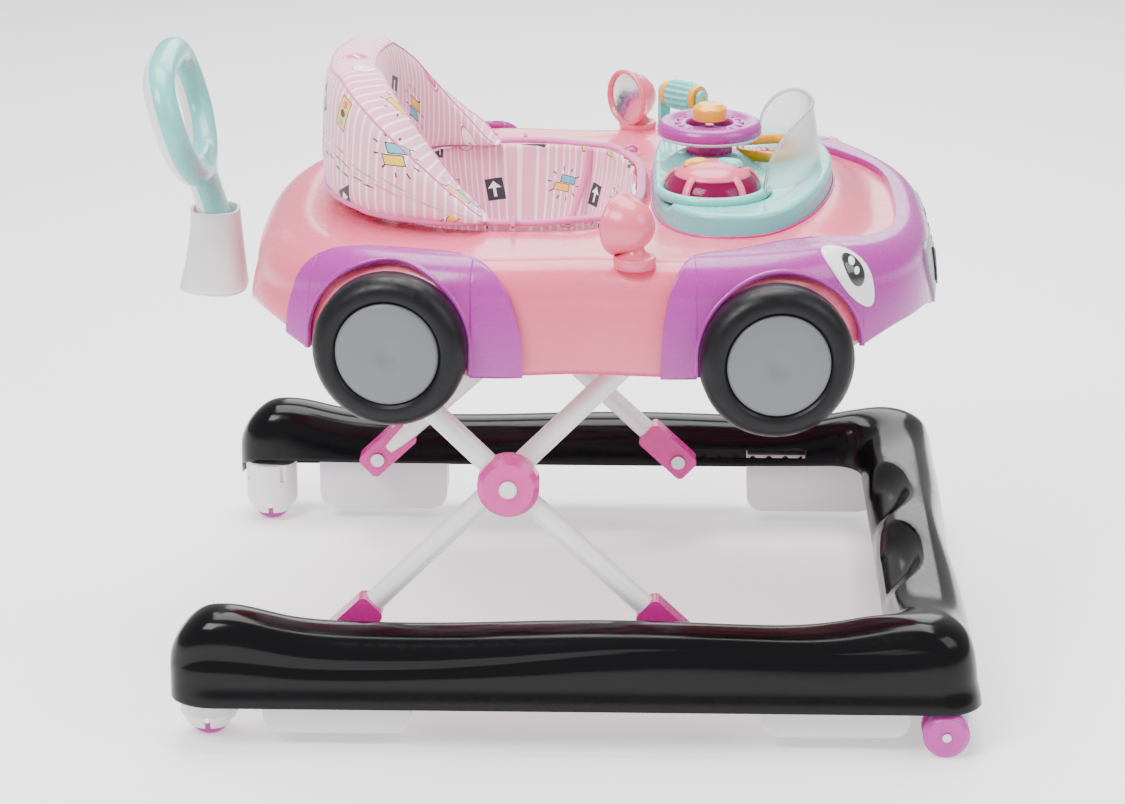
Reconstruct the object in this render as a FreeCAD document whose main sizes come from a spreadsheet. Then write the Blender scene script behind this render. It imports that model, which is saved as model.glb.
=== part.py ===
import FreeCAD, Part
import math
import os
import re
import Sketcher

# A folding baby walker shaped like a toy car, in millimetres.
# +X is forward, +Y is the child's left and +Z is up. The model is drawn about
# the middle of its base on the floor, and every piece is moved along X at the
# end, so that the origin lies under the middle of the whole walker, push
# handle included.

V = FreeCAD.Vector

DIMENSIONS = {
    # Base: one moulded U, open at the back and hollow underneath
    "base_half_length": 365, "base_half_width": 330, "rail_width": 73, "cross_width": 85,
    "base_low": 45, "base_top": 112, "base_wall": 3.5, "base_corner": 34,
    "base_edge": 16, "base_inner_edge": 13, "slot_rear": 66, "slot_front": 226, "slot_half": 4.5,
    # Rear wheels under their hoods
    "rear_wheel_x": -332, "rear_wheel_y": 281, "rear_wheel_radius": 20, "rear_wheel_width": 20,
    "hood_radius": 26.5, "hood_low": 10, "rear_axle_radius": 2.5, "running_gap": 0.1,
    # Front casters
    "caster_x": 343, "caster_y": 312, "caster_trail": 12, "caster_wheel_radius": 21,
    "caster_wheel_width": 12, "fork_width": 9, "fork_top": 43.5, "stem_radius": 5,
    "stem_top": 96, "caster_pin_radius": 2,
    # Friction blocks that stop the walker at a step
    "grip_length": 133, "grip_low": 14, "grip_high": 76, "grip_inner": 270, "grip_outer": 316,
    "grip_rear_x": -214, "grip_front_x": 233, "pad_length": 104, "pad_width": 34, "pad_low": 11.5,
    # Scissor legs: two bent tubes
    "rear_pivot_x": -217, "front_pivot_x": 94, "low_pivot_z": 80, "high_pivot_z": 376,
    "tube_radius": 10, "tube_wall": 1.4, "foot_plane": 245, "inner_top_plane": 196,
    "outer_top_plane": 228, "tube_bend": 38, "tube_start": 18, "bolt_radius": 4,
    "bracket_rear": 16, "bracket_front": 46, "bracket_half": 14, "bracket_depth": 22,
    "hub_radius": 28, "hub_inner": 242, "hub_outer": 263,
    # Car body
    "body_rear": 319, "body_front": 322, "body_half": 272, "body_low": 335, "body_top": 437,
    "body_wall": 3, "body_rear_corner": 150, "body_corner": 118, "body_edge": 32, "skin_thick": 8, "fascia_low": 318,
    "fascia_top": 436, "fascia_rear": 73,
    "tyre_radius": 68.5, "tyre_depth": 40, "tyre_face": 292, "tyre_toe": 7, "arch_radius": 72,
    "rear_tyre_x": -169, "rear_tyre_z": 362, "front_tyre_x": 180, "front_tyre_z": 354,
    "cap_radius": 45.5,
    # Seat
    "seat_rear": -178, "seat_front": 58, "seat_half": 150, "seat_corner": 100, "ring_lip": 8,
    "ring_top": 443, "sling_low": 272, "sling_wall": 6, "sling_inset": 70, "leg_hole_radius": 42,
    "pad_rear": -240, "pad_tip": -100, "pad_half": 165, "pad_thick": 48, "pad_top": 567,
    # Dashboard toys
    "dash_rear": 68, "dash_front": 235, "dash_half": 150, "dash_top": 456, "dash_wall": 3,
    "steer_x": 118, "steer_z": 492, "steer_radius": 41, "steer_tube": 9, "post_radius": 4,
    "horn_radius": 16, "pod_x": 120, "pod_y": -87, "button_radius": 8,
    "screen_radius": 100, "screen_x": 125, "screen_top": 518, "screen_wall": 2.5,
    "roller_x": 94, "roller_y": 113, "roller_z": 498, "roller_radius": 13,
    # Push handle
    "handle_x": -339, "handle_low": 372, "handle_lean": 16, "handle_half": 98,
    "handle_height": 210, "neck_half": 17, "handle_front": 14, "handle_rear": 12,
    # Mirrors
    "mirror_x": 50, "mirror_y": 243, "mirror_z": 466, "mirror_radius": 28,
}

doc = FreeCAD.newDocument("BabyWalker")
sheet = doc.addObject("Spreadsheet::Sheet", "Dims")
for row, (alias, value) in enumerate(DIMENSIONS.items(), start=1):
    sheet.set(f"A{row}", alias)
    sheet.set(f"B{row}", str(value))
    sheet.setAlias(f"B{row}", alias)
doc.recompute()

parts = []


def ref(text):
    """Point every driving dimension named in text at the sheet."""
    return re.sub(r"\b([a-z]+(?:_[a-z]+)+)\b", r"Dims.\1", str(text))


def size(text):
    """The present value of an expression in driving dimensions, in mm."""
    return float(sheet.evalExpression(ref(text)))


def bind(item, path, text):
    item.setExpression(path, ref(text))


def part(item, label):
    """Register item as a finished sub-part that is written as label.step."""
    item.Label = label
    parts.append(item)
    return item


def turn(axis, degrees):
    return FreeCAD.Rotation(axis, degrees)


def place(item, x, y, z, rotation=None):
    """Set item at bound coordinates, with an optional rotation."""
    item.Placement = FreeCAD.Placement(V(size(x), size(y), size(z)), rotation or FreeCAD.Rotation())
    for axis, text in zip("xyz", (x, y, z)):
        bind(item, f"Placement.Base.{axis}", text)
    return item


# Sketches and features of bodies

def origin_plane(body, role):
    return next(item for item in body.Origin.OriginFeatures if item.Role == role)


def new_sketch(body, role, offset):
    sketch = body.newObject("Sketcher::SketchObject", f"{body.Name}Sketch")
    sketch.AttachmentSupport = [(origin_plane(body, role), "")]
    sketch.MapMode = "FlatFace"
    sketch.AttachmentOffset = FreeCAD.Placement(V(0, 0, size(offset)), FreeCAD.Rotation())
    bind(sketch, "AttachmentOffset.Base.z", offset)
    return sketch


def fix_point(sketch, edge, end, corner, spot):
    """Hold one end of a sketch edge at a corner given by two expressions."""
    for kind, text, value in zip(("DistanceX", "DistanceY"), corner, spot):
        index = sketch.addConstraint(Sketcher.Constraint(kind, -1, 1, edge, end, value))
        bind(sketch, f"Constraints[{index}]", text)


def round_corner(sketch, edge, radius):
    """Round the end of one sketch edge, with a bound radius."""
    sketch.fillet(edge, 2, size(radius), True, True)
    arc = sketch.GeometryCount - 2
    index = sketch.addConstraint(Sketcher.Constraint("Radius", arc, size(radius)))
    bind(sketch, f"Constraints[{index}]", radius)


def draw_lines(sketch, corners, radii, closed):
    """Draw straight edges through corners, and round each corner that has a radius."""
    spots = [(size(x), size(y)) for x, y in corners]
    count = len(spots) if closed else len(spots) - 1
    for i in range(count):
        start, end = spots[i], spots[(i + 1) % len(spots)]
        sketch.addGeometry(Part.LineSegment(V(*start, 0), V(*end, 0)), False)
    for i in range(count if closed else count - 1):
        sketch.addConstraint(Sketcher.Constraint("Coincident", i, 2, (i + 1) % count, 1))
    for i, (corner, spot) in enumerate(zip(corners, spots)):
        edge, end = (i, 1) if i < count else (i - 1, 2)
        fix_point(sketch, edge, end, corner, spot)
    for i, radius in enumerate(radii):
        if radius:
            round_corner(sketch, (i - 1) % count, radius)


def outline(body, role, offset, corners, radii=None):
    sketch = new_sketch(body, role, offset)
    if not isinstance(radii, (list, tuple)):
        radii = [radii] * len(corners)
    draw_lines(sketch, corners, radii, closed=True)
    return sketch


def circle(body, role, offset, spots, radius):
    """A sketch of equal circles, at (x, y) spots given as expressions."""
    sketch = new_sketch(body, role, offset)
    for x, y in spots:
        middle = (size(x), size(y))
        edge = sketch.addGeometry(Part.Circle(V(*middle, 0), V(0, 0, 1), size(radius)), False)
        fix_point(sketch, edge, 3, (x, y), middle)
        index = sketch.addConstraint(Sketcher.Constraint("Radius", edge, size(radius)))
        bind(sketch, f"Constraints[{index}]", radius)
    return sketch


def pad(body, sketch, length):
    feature = body.newObject("PartDesign::Pad", f"{body.Name}Pad")
    feature.Profile = sketch
    bind(feature, "Length", length)
    doc.recompute()
    return feature


def pocket(body, sketch, length, toward_normal=False, midplane=False):
    """Cut a sketch into the body, against its normal unless told otherwise."""
    before = body.Shape.Volume
    feature = body.newObject("PartDesign::Pocket", f"{body.Name}Pocket")
    feature.Profile = sketch
    feature.Reversed = toward_normal
    feature.Midplane = midplane
    bind(feature, "Length", length)
    doc.recompute()
    if feature.Shape.Volume > before - 1:
        raise ValueError(f"{feature.Name} cuts nothing")
    return feature


def soften(body, feature, chosen, radius):
    """Fillet the edges of feature for which chosen(edge) is true."""
    names = [f"Edge{i}" for i, edge in enumerate(feature.Shape.Edges, start=1) if chosen(edge)]
    fillet = body.newObject("PartDesign::Fillet", f"{body.Name}Fillet")
    fillet.Base = (feature, names)
    bind(fillet, "Radius", radius)
    doc.recompute()
    return fillet


def at_height(height):
    level = size(height)
    return lambda edge: abs(edge.BoundBox.ZMin - level) < 0.01 and edge.BoundBox.ZLength < 0.02


def rectangle(x_low, x_high, y_low, y_high):
    return [(x_low, y_low), (x_high, y_low), (x_high, y_high), (x_low, y_high)]


def slab(label, corners, low, high, radii=None):
    """A body padded upward from z=low to z=high."""
    body = doc.addObject("PartDesign::Body", label)
    pad(body, outline(body, "XY_Plane", low, corners, radii), f"{high} - ({low})")
    return body


def side_slab(label, corners, y_low, y_high, radii=None):
    """A body with an X-Z outline that runs from y_low to y_high."""
    body = doc.addObject("PartDesign::Body", label)
    pad(body, outline(body, "XZ_Plane", f"-({y_high})", corners, radii), f"{y_high} - ({y_low})")
    return body


def front_slab(label, corners, x_low, x_high, radii=None):
    """A body with a Y-Z outline that runs from x_low to x_high."""
    body = doc.addObject("PartDesign::Body", label)
    pad(body, outline(body, "YZ_Plane", x_low, corners, radii), f"{x_high} - ({x_low})")
    return body


def turned(label, profile, radii=None):
    """A body turned about its own Z axis from (radius, height) corners."""
    body = doc.addObject("PartDesign::Body", label)
    sketch = outline(body, "XZ_Plane", 0, profile, radii)
    feature = body.newObject("PartDesign::Revolution", f"{label}Turn")
    feature.Profile = sketch
    feature.ReferenceAxis = (sketch, ["V_Axis"])
    feature.Angle = 360
    doc.recompute()
    return body


def loft(body, kind, sketches):
    feature = body.newObject(f"PartDesign::{kind}Loft", f"{body.Name}{kind}Loft")
    feature.Profile = sketches[0]
    feature.Sections = sketches[1:]
    feature.Ruled = True
    doc.recompute()
    return feature


# Primitives and booleans

def rod(label, radius, length, x, y, z, rotation=None):
    item = doc.addObject("Part::Cylinder", label)
    bind(item, "Radius", radius)
    bind(item, "Height", length)
    return place(item, x, y, z, rotation)


def block(label, x, y, z):
    """A box between pairs of expressions."""
    item = doc.addObject("Part::Box", label)
    for side, (low, high) in zip(("Length", "Width", "Height"), (x, y, z)):
        bind(item, side, f"{high} - ({low})")
    return place(item, x[0], y[0], z[0])


def cut(label, base, *tools):
    """Take each tool away from base in turn."""
    result = base
    for i, tool in enumerate(tools, start=1):
        step = doc.addObject("Part::Cut", f"{label}Cut{i}")
        step.Base = result
        step.Tool = tool
        result = step
    doc.recompute()
    return result


def fuse(label, *items):
    step = doc.addObject("Part::MultiFuse", f"{label}Fuse")
    step.Shapes = list(items)
    doc.recompute()
    return step


def common(label, *items):
    step = doc.addObject("Part::MultiCommon", f"{label}Common")
    step.Shapes = list(items)
    doc.recompute()
    return step


def group(label, *items):
    step = doc.addObject("Part::Compound", f"{label}Group")
    step.Links = list(items)
    doc.recompute()
    return step


def mirrored(item, label):
    """The left-hand twin of a right-hand piece."""
    twin = doc.addObject("Part::Mirroring", label)
    twin.Source = item
    twin.Base = V(0, 0, 0)
    twin.Normal = V(0, 1, 0)
    doc.recompute()
    return twin


def pair(label, item):
    """One sub-part that holds a right-hand piece and its twin."""
    return part(group(label, item, mirrored(item, f"{label}Twin")), label)


ALONG_LEFT = turn(V(1, 0, 0), -90)      # local Z becomes +Y
ALONG_RIGHT = turn(V(1, 0, 0), 90)      # local Z becomes -Y


# Base

def base_outline(inset):
    length = f"base_half_length - {inset}"
    outer = f"base_half_width - {inset}"
    inner = f"base_half_width - rail_width + {inset}"
    cross = f"base_half_length - cross_width + {inset}"
    return [(f"-({length})", f"-({outer})"), (length, f"-({outer})"), (length, outer),
            (f"-({length})", outer), (f"-({length})", inner), (cross, inner),
            (cross, f"-({inner})"), (f"-({length})", f"-({inner})")]


def make_base():
    body = slab("base_frame", base_outline(0), "base_low", "base_top", "base_corner")
    inside = outline(body, "XY_Plane", "base_low", base_outline("base_wall"), "base_corner - base_wall")
    depth = "base_top - base_low - base_wall"
    hollow = pocket(body, inside, depth, toward_normal=True)
    rounded = soften(body, hollow, at_height("base_top - base_wall"), "base_inner_edge")
    soften(body, rounded, at_height("base_top"), "base_edge")
    reach = "2 * (base_half_width - rail_width + 10)"
    bolts = circle(body, "XZ_Plane", 0, [("rear_pivot_x", "low_pivot_z")], "bolt_radius + running_gap")
    pocket(body, bolts, reach, midplane=True)
    slot = outline(body, "XZ_Plane", 0,
                   rectangle("slot_rear", "slot_front", "low_pivot_z - slot_half", "low_pivot_z + slot_half"))
    pocket(body, slot, reach, midplane=True)
    return part(body, "base_frame")


def make_rear_wheels(base):
    hood = turned("RearHood", [(0, "hood_low"), ("hood_radius - 6", "hood_low"),
                               ("hood_radius", "hood_low + 12"), ("hood_radius", "base_low + 18"),
                               (0, "base_low + 18")])
    room = block("WheelRoom", ("-rear_wheel_radius - 2.5", "rear_wheel_radius + 2.5"),
                 ("-rear_wheel_width / 2 - 1", "rear_wheel_width / 2 + 1"), (0, "rear_wheel_radius + 24"))
    bore = "rear_axle_radius + running_gap"
    slot = block("AxleSlot", (f"-({bore})", bore), (-40, 40), (0, "rear_wheel_radius"))
    hole = rod("AxleHole", bore, 80, 0, -40, "rear_wheel_radius", ALONG_LEFT)
    hood = cut("Hood", hood, room, slot, hole)
    place(hood, "rear_wheel_x", "-rear_wheel_y", 0)
    pair("rear_wheel_hoods", cut("HoodRim", hood, base))
    axle = rod("RearAxle", "rear_axle_radius", "2 * hood_radius - 2", "rear_wheel_x",
               "-rear_wheel_y - hood_radius + 1", "rear_wheel_radius", ALONG_LEFT)
    pair("rear_axles", axle)
    half = "rear_wheel_width / 2"
    wheel = turned("RearWheel", [(bore, f"-({half})"), ("rear_wheel_radius - 2", f"-({half})"),
                                 ("rear_wheel_radius", f"-({half}) + 3"), ("rear_wheel_radius", f"{half} - 3"),
                                 ("rear_wheel_radius - 2", half), (bore, half)])
    place(wheel, "rear_wheel_x", "-rear_wheel_y", "rear_wheel_radius", ALONG_LEFT)
    part(wheel, "rear_wheel_right")
    part(mirrored(wheel, "RearWheelTwin"), "rear_wheel_left")


def make_casters(base):
    axle_x = "caster_x - caster_trail"
    fork = side_slab("ForkPlate", [(f"{axle_x} - 9", "caster_wheel_radius - 9"),
                                   (f"{axle_x} + 9", "caster_wheel_radius - 9"),
                                   ("caster_x + 9", "fork_top - 8"), ("caster_x + 9", "fork_top"),
                                   (f"{axle_x} - 9", "fork_top")],
                     "-caster_y - fork_width / 2", "-caster_y + fork_width / 2", [5, 5, None, None, 5])
    stem = rod("ForkStem", "stem_radius", "stem_top - fork_top", "caster_x", "-caster_y", "fork_top")
    hole = rod("PinHole", "caster_pin_radius + 0.05", 60, axle_x, "-caster_y - 30",
               "caster_wheel_radius", ALONG_LEFT)
    fork = cut("Fork", fuse("Fork", fork, stem), hole)
    part(fork, "caster_fork_right")
    part(mirrored(fork, "ForkTwin"), "caster_fork_left")
    half = "fork_width / 2 + 0.5 + caster_wheel_width"
    pin = turned("CasterPin", [(0, f"-({half}) - 2"), (4, f"-({half}) - 2"), (4, f"-({half}) - 0.5"),
                               ("caster_pin_radius", f"-({half}) - 0.5"), ("caster_pin_radius", f"{half} + 0.5"),
                               (4, f"{half} + 0.5"), (4, f"{half} + 2"), (0, f"{half} + 2")])
    place(pin, axle_x, "-caster_y", "caster_wheel_radius", ALONG_LEFT)
    part(pin, "caster_pin_right")
    part(mirrored(pin, "PinTwin"), "caster_pin_left")
    wheels = []
    for side in (-1, 1):
        near = f"{side} * (fork_width / 2 + 0.5)"
        far = f"{side} * ({half})"
        bore = "caster_pin_radius + running_gap"
        disc = turned("CasterWheel", [(bore, near), ("caster_wheel_radius - 1.5", near),
                                      ("caster_wheel_radius", f"{near} + {side} * 2"),
                                      ("caster_wheel_radius", f"{far} - {side} * 4"),
                                      ("caster_wheel_radius - 4", far), (bore, far)])
        wheels.append(place(disc, axle_x, "-caster_y", "caster_wheel_radius", ALONG_LEFT))
    wheels = group("CasterWheels", *wheels)
    part(wheels, "caster_wheels_right")
    part(mirrored(wheels, "CasterWheelsTwin"), "caster_wheels_left")
    socket = turned("CasterSocket", [("stem_radius + running_gap", "base_low + 2"), (10, "base_low + 2"),
                                     (10, "base_top - base_wall - 4"),
                                     ("stem_radius + running_gap", "base_top - base_wall - 4")])
    place(socket, "caster_x", "-caster_y", 0)
    pair("caster_sockets", cut("CasterSocket", socket, base))


def make_grips():
    blocks, pads = [], []
    for middle in ("grip_rear_x", "grip_front_x"):
        low, high = f"{middle} - grip_length / 2", f"{middle} + grip_length / 2"
        blocks.append(side_slab("GripBlock", rectangle(low, high, "grip_low", "grip_high"),
                                "-grip_outer", "-grip_inner", [16, 16, None, None]))
        centre = "(grip_inner + grip_outer) / 2"
        pads.append(block("GripPad", (f"{middle} - pad_length / 2", f"{middle} + pad_length / 2"),
                          (f"-({centre}) - pad_width / 2", f"-({centre}) + pad_width / 2"),
                          ("pad_low", "grip_low")))
    pair("grip_blocks", group("GripBlocks", *blocks))
    pair("grip_pads", group("GripPads", *pads))


# Scissor legs

LEG_RUN = "(front_pivot_x - rear_pivot_x)"
LEG_RISE = "(high_pivot_z - low_pivot_z)"
LEG_LENGTH = f"sqrt({LEG_RUN} ^ 2 + {LEG_RISE} ^ 2)"
LEG_SLOPE = math.degrees(math.atan2(size(LEG_RISE), size(LEG_RUN)))
HUB_X = "(front_pivot_x + rear_pivot_x) / 2"
HUB_Z = "(high_pivot_z + low_pivot_z) / 2"
INNER_HUB_PLANE = "(foot_plane + inner_top_plane) / 2"
INNER_TURN = turn(V(0, 1, 0), -LEG_SLOPE)
OUTER_TURN = turn(V(0, 1, 0), LEG_SLOPE - 180)


def bent_tube(label, path, radii):
    """A round tube bent to a U, drawn flat in the plane of the leg."""
    body = doc.addObject("PartDesign::Body", label)
    spine = new_sketch(body, "XY_Plane", 0)
    draw_lines(spine, path, radii, closed=False)
    wall = new_sketch(body, "YZ_Plane", path[0][0])
    for radius in ("tube_radius", "tube_radius - tube_wall"):
        middle = V(size(path[0][1]), 0, 0)
        edge = wall.addGeometry(Part.Circle(middle, V(0, 0, 1), size(radius)), False)
        fix_point(wall, edge, 3, (path[0][1], 0), (middle.x, 0.0))
        index = wall.addConstraint(Sketcher.Constraint("Radius", edge, size(radius)))
        bind(wall, f"Constraints[{index}]", radius)
    doc.recompute()
    pipe = body.newObject("PartDesign::AdditivePipe", f"{label}Pipe")
    pipe.Profile = wall
    pipe.Spine = spine
    doc.recompute()
    return body


def foot_bracket(label, lean, path_start, rotation, pivot_x):
    """Sleeve on a leg's lower end, with the hole of its pivot."""
    sleeve = slab(label, rectangle("-bracket_rear", "bracket_front", "-foot_plane - bracket_depth / 2",
                                   "-foot_plane + bracket_depth / 2"),
                  "-bracket_half", "bracket_half")
    soften(sleeve, sleeve.Tip, lambda edge: edge.BoundBox.YLength > 5 and edge.BoundBox.XLength < 0.1, 6)
    hole = rod(f"{label}Hole", "bolt_radius + running_gap", 60, 0, "-foot_plane - 30", 0, ALONG_LEFT)
    start = f"-({path_start})"
    socket = rod(f"{label}Socket", "tube_radius + 0.05", 60, "tube_start - 0.05", start, 0,
                 turn(V(0, 0, 1), lean) * turn(V(0, 1, 0), 90))
    return place(cut(label, sleeve, hole, socket), pivot_x, 0, "low_pivot_z", rotation)


def make_legs():
    inner_plane = f"foot_plane - (foot_plane - inner_top_plane) * tube_start / {LEG_LENGTH}"
    inner_path = [("tube_start", f"-({inner_plane})"), (LEG_LENGTH, "-inner_top_plane"),
                  (LEG_LENGTH, "inner_top_plane"), ("tube_start", inner_plane)]
    inner = bent_tube("InnerLeg", inner_path, [None, "tube_bend", "tube_bend", None])
    place(inner, "rear_pivot_x", 0, "low_pivot_z", INNER_TURN)
    half = f"{LEG_LENGTH} / 2"
    outer_path = [("tube_start", "-foot_plane"), (half, "-foot_plane"), (LEG_LENGTH, "-outer_top_plane"),
                  (LEG_LENGTH, "outer_top_plane"), (half, "foot_plane"), ("tube_start", "foot_plane")]
    outer = bent_tube("OuterLeg", outer_path, [None, 150, "tube_bend", "tube_bend", 150, None])
    place(outer, "front_pivot_x", 0, "low_pivot_z", OUTER_TURN)
    reach = "2 * base_half_width"
    hub_hole = rod("HubHole", "bolt_radius + running_gap", reach, HUB_X, "-base_half_width", HUB_Z, ALONG_LEFT)
    part(cut("InnerLeg", inner, hub_hole), "inner_leg_tube")
    part(cut("OuterLeg", outer, hub_hole), "outer_leg_tube")

    lean = math.degrees(math.atan2(size("foot_plane - inner_top_plane"), size(LEG_LENGTH)))
    bracket = foot_bracket("InnerBracket", lean, inner_plane, INNER_TURN, "rear_pivot_x")
    brackets = group("InnerBrackets", bracket, mirrored(bracket, "InnerBracketTwin"))
    part(cut("InnerBracketFit", brackets, inner), "inner_leg_brackets")
    pair("outer_leg_brackets", foot_bracket("OuterBracket", 0, "foot_plane", OUTER_TURN, "front_pivot_x"))

    inside = "-foot_plane + bracket_depth / 2 + 0.5"
    bolt = turned("PivotBolt", [(0, -3), (7, -3), (7, 0), ("bolt_radius", 0), ("bolt_radius", 29),
                                (7, 29), (7, 34), (0, 34)])
    pair("pivot_bolts", place(bolt, "rear_pivot_x", inside, "low_pivot_z", ALONG_RIGHT))
    slider = turned("SlidePin", [(0, -3), (7, -3), (7, 0), ("bolt_radius", 0), ("bolt_radius", 29),
                                 (7, 29), (7, 34), (0, 34)])
    pair("slide_pins", place(slider, "front_pivot_x", inside, "low_pivot_z", ALONG_RIGHT))

    cover = turned("HubCover", [(0, 0), ("hub_radius", 0), ("hub_radius", "hub_outer - hub_inner - 5"),
                                ("hub_radius - 5", "hub_outer - hub_inner"), (0, "hub_outer - hub_inner")])
    place(cover, HUB_X, "-hub_inner", HUB_Z, ALONG_RIGHT)
    channel = rod("HubChannel", "tube_radius + 0.05", 100, f"{HUB_X}", "-foot_plane", f"{HUB_Z}",
                  OUTER_TURN * turn(V(0, 1, 0), 90))
    channel_low = rod("HubChannelLow", "tube_radius + 0.05", 100, f"{HUB_X}", "-foot_plane", f"{HUB_Z}",
                      OUTER_TURN * turn(V(0, 1, 0), -90))
    cover = cut("HubCover", cover, channel, channel_low, outer, hub_hole)
    part(cover, "hub_cover_right")
    part(mirrored(cover, "HubCoverTwin"), "hub_cover_left")
    pin = turned("HubPin", [(0, 0), (7, 0), (7, 3), ("bolt_radius", 3), ("bolt_radius", "hub_outer - 204.5"),
                            (8, "hub_outer - 204.5"), (8, "hub_outer - 202"), (6, "hub_outer - 200.5"),
                            (0, "hub_outer - 200.5")])
    pair("hub_pins", place(pin, HUB_X, -205, HUB_Z, ALONG_RIGHT))


# Car body

def body_form(label, low, grow):
    """The rounded car body as a solid block, grown outward by a wall or skin."""
    rear, front = f"body_rear_corner + ({grow})", f"body_corner + ({grow})"
    body = slab(label, rectangle(f"-body_rear - ({grow})", f"body_front + ({grow})",
                                 f"-body_half - ({grow})", f"body_half + ({grow})"),
                low, f"body_top + ({grow})", [rear, front, front, rear])
    soften(body, body.Tip, at_height(f"body_top + ({grow})"), f"body_edge + ({grow})")
    return body


def seat_outline(grow):
    return rectangle(f"seat_rear - ({grow})", f"seat_front + ({grow})",
                     f"-seat_half - ({grow})", f"seat_half + ({grow})")


def make_body():
    outside = body_form("BodyOutside", "body_low", 0)
    cavity = body_form("BodyCavity", "body_low - 5", "-body_wall")
    opening = slab("SeatOpening", seat_outline(0), "body_top - 20", "body_top + 20", "seat_corner")
    part(cut("BodyShell", outside, cavity, opening), "body_shell")


def arch(label, x, z):
    return rod(label, "arch_radius", "2 * base_half_width", x, "-base_half_width", z, ALONG_LEFT)


def make_fenders(core):
    skin = body_form("SkinForm", "fascia_low", "skin_thick")
    rear_arch = arch("RearArch", "rear_tyre_x", "rear_tyre_z")
    front_arch = arch("FrontArch", "front_tyre_x", "front_tyre_z")
    flare = side_slab("FenderOutline", [("rear_tyre_x - 98", "body_low"), ("rear_tyre_x + 113", "body_low"),
                                        ("rear_tyre_x + 88", "body_top - 40"), ("rear_tyre_x + 40", "body_top + 6"),
                                        ("rear_tyre_x - 40", "body_top + 6"), ("rear_tyre_x - 84", "body_top - 42")],
                      "-base_half_width", "-body_half + 26", [None, None, 20, 20, 20, 20])
    fender = cut("Fender", common("Fender", skin, flare), core, rear_arch)
    part(fender, "rear_fender_right")
    part(mirrored(fender, "FenderTwin"), "rear_fender_left")
    zone = block("FasciaZone", ("fascia_rear", "body_front + 20"), ("-body_half - 20", "body_half + 20"),
                 ("fascia_low", "fascia_top"))
    part(cut("Fascia", common("Fascia", skin, zone), core, front_arch), "front_fascia")
    return skin


def make_grille():
    low, high = "fascia_low + 14", "fascia_low + 78"
    grille = front_slab("GrillePlate", [(-100, f"{high} - 14"), (-70, low), (70, low), (100, f"{high} - 14"),
                                        (60, high), (-60, high)],
                        "body_front + skin_thick", "body_front + skin_thick + 5", [14, 12, 12, 14, 14, 14])
    for i in range(-3, 4):
        bar = f"{i * 24}"
        gap = outline(grille, "YZ_Plane", "body_front + skin_thick + 5",
                      rectangle(f"{bar} - 8", f"{bar} + 8", f"{low} + 14", f"{high} - 16"))
        pocket(grille, gap, 3)
    part(grille, "grille")


def make_lamps(skin):
    corner = V(size("body_front - body_corner"), -size("body_half - body_corner"), size("body_top - 48"))
    aim = turn(V(0, 0, 1), -52) * turn(V(0, 1, 0), 68)
    surface = corner + turn(V(0, 0, 1), -52).multVec(V(size("body_corner + skin_thick"), 0, 0))
    lamp = turned("Lamp", [(0, -14), (35, -14), (35, -1), (30, 4), (0, 6)], [None, None, None, 4, None])
    place(lamp, surface.x, surface.y, surface.z, aim)
    lamp = cut("Lamp", lamp, skin)
    pair("headlamps", lamp)
    pupil = turned("Pupil", [(0, 6.2), (17, 6.2), (16, 8), (0, 8.6)])
    place(pupil, surface.x, surface.y, surface.z, aim)
    pair("headlamp_pupils", cut("Pupil", pupil, skin))


def make_tyres(core):
    caps = []
    for name, x, z, toe in (("rear", "rear_tyre_x", "rear_tyre_z", -1), ("front", "front_tyre_x", "front_tyre_z", 1)):
        aim = turn(V(0, 0, 1), toe * size("tyre_toe")) * ALONG_RIGHT
        tyre = turned(f"{name}Tyre", [(0, "-tyre_depth"), ("tyre_radius", "-tyre_depth"), ("tyre_radius", 0),
                                      ("cap_radius + 3", 0), ("cap_radius + 0.5", -4), (0, -4)],
                      [None, None, 13, 2, None, None])
        place(tyre, x, "-tyre_face", z, aim)
        pair(f"{name}_tyres", cut(f"{name}Tyre", tyre, core))
        cap = turned(f"{name}Cap", [(0, -4), ("cap_radius", -4), ("cap_radius", -1), ("cap_radius - 2", 0),
                                    (13, 0), (7, -1.5), (0, -1.5)])
        caps.append(place(cap, x, "-tyre_face", z, aim))
    pair("hub_caps", group("Caps", *caps))


def make_mirrors(core):
    shell = turned("MirrorHead", [(0, 2), ("mirror_radius - 3", 2), ("mirror_radius - 3", 0), ("mirror_radius", 0),
                                  ("mirror_radius", 8), ("mirror_radius - 8", 24), (8, 31), (0, 32)],
                   [None, None, None, None, 6, 8, 6, None])
    facing = turn(V(0, 0, 1), -40) * turn(V(0, 1, 0), 90)
    rim_x, rim_y = "mirror_x - 12.3", "-mirror_y + 10.3"
    place(shell, rim_x, rim_y, "mirror_z", facing)
    stalk = rod("MirrorStalk", 7, "mirror_z - body_top", "mirror_x", "-mirror_y", "body_top - 8")
    foot = rod("MirrorFoot", 15, 12, "mirror_x", "-mirror_y", "body_top - 9")
    pair("mirror_shells", cut("Mirror", fuse("Mirror", shell, stalk, foot), core))
    lens = rod("MirrorLens", "mirror_radius - 3.2", 1.9, rim_x, rim_y, "mirror_z", facing)
    pair("mirror_lenses", lens)


# Leg fittings under the body

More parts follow.
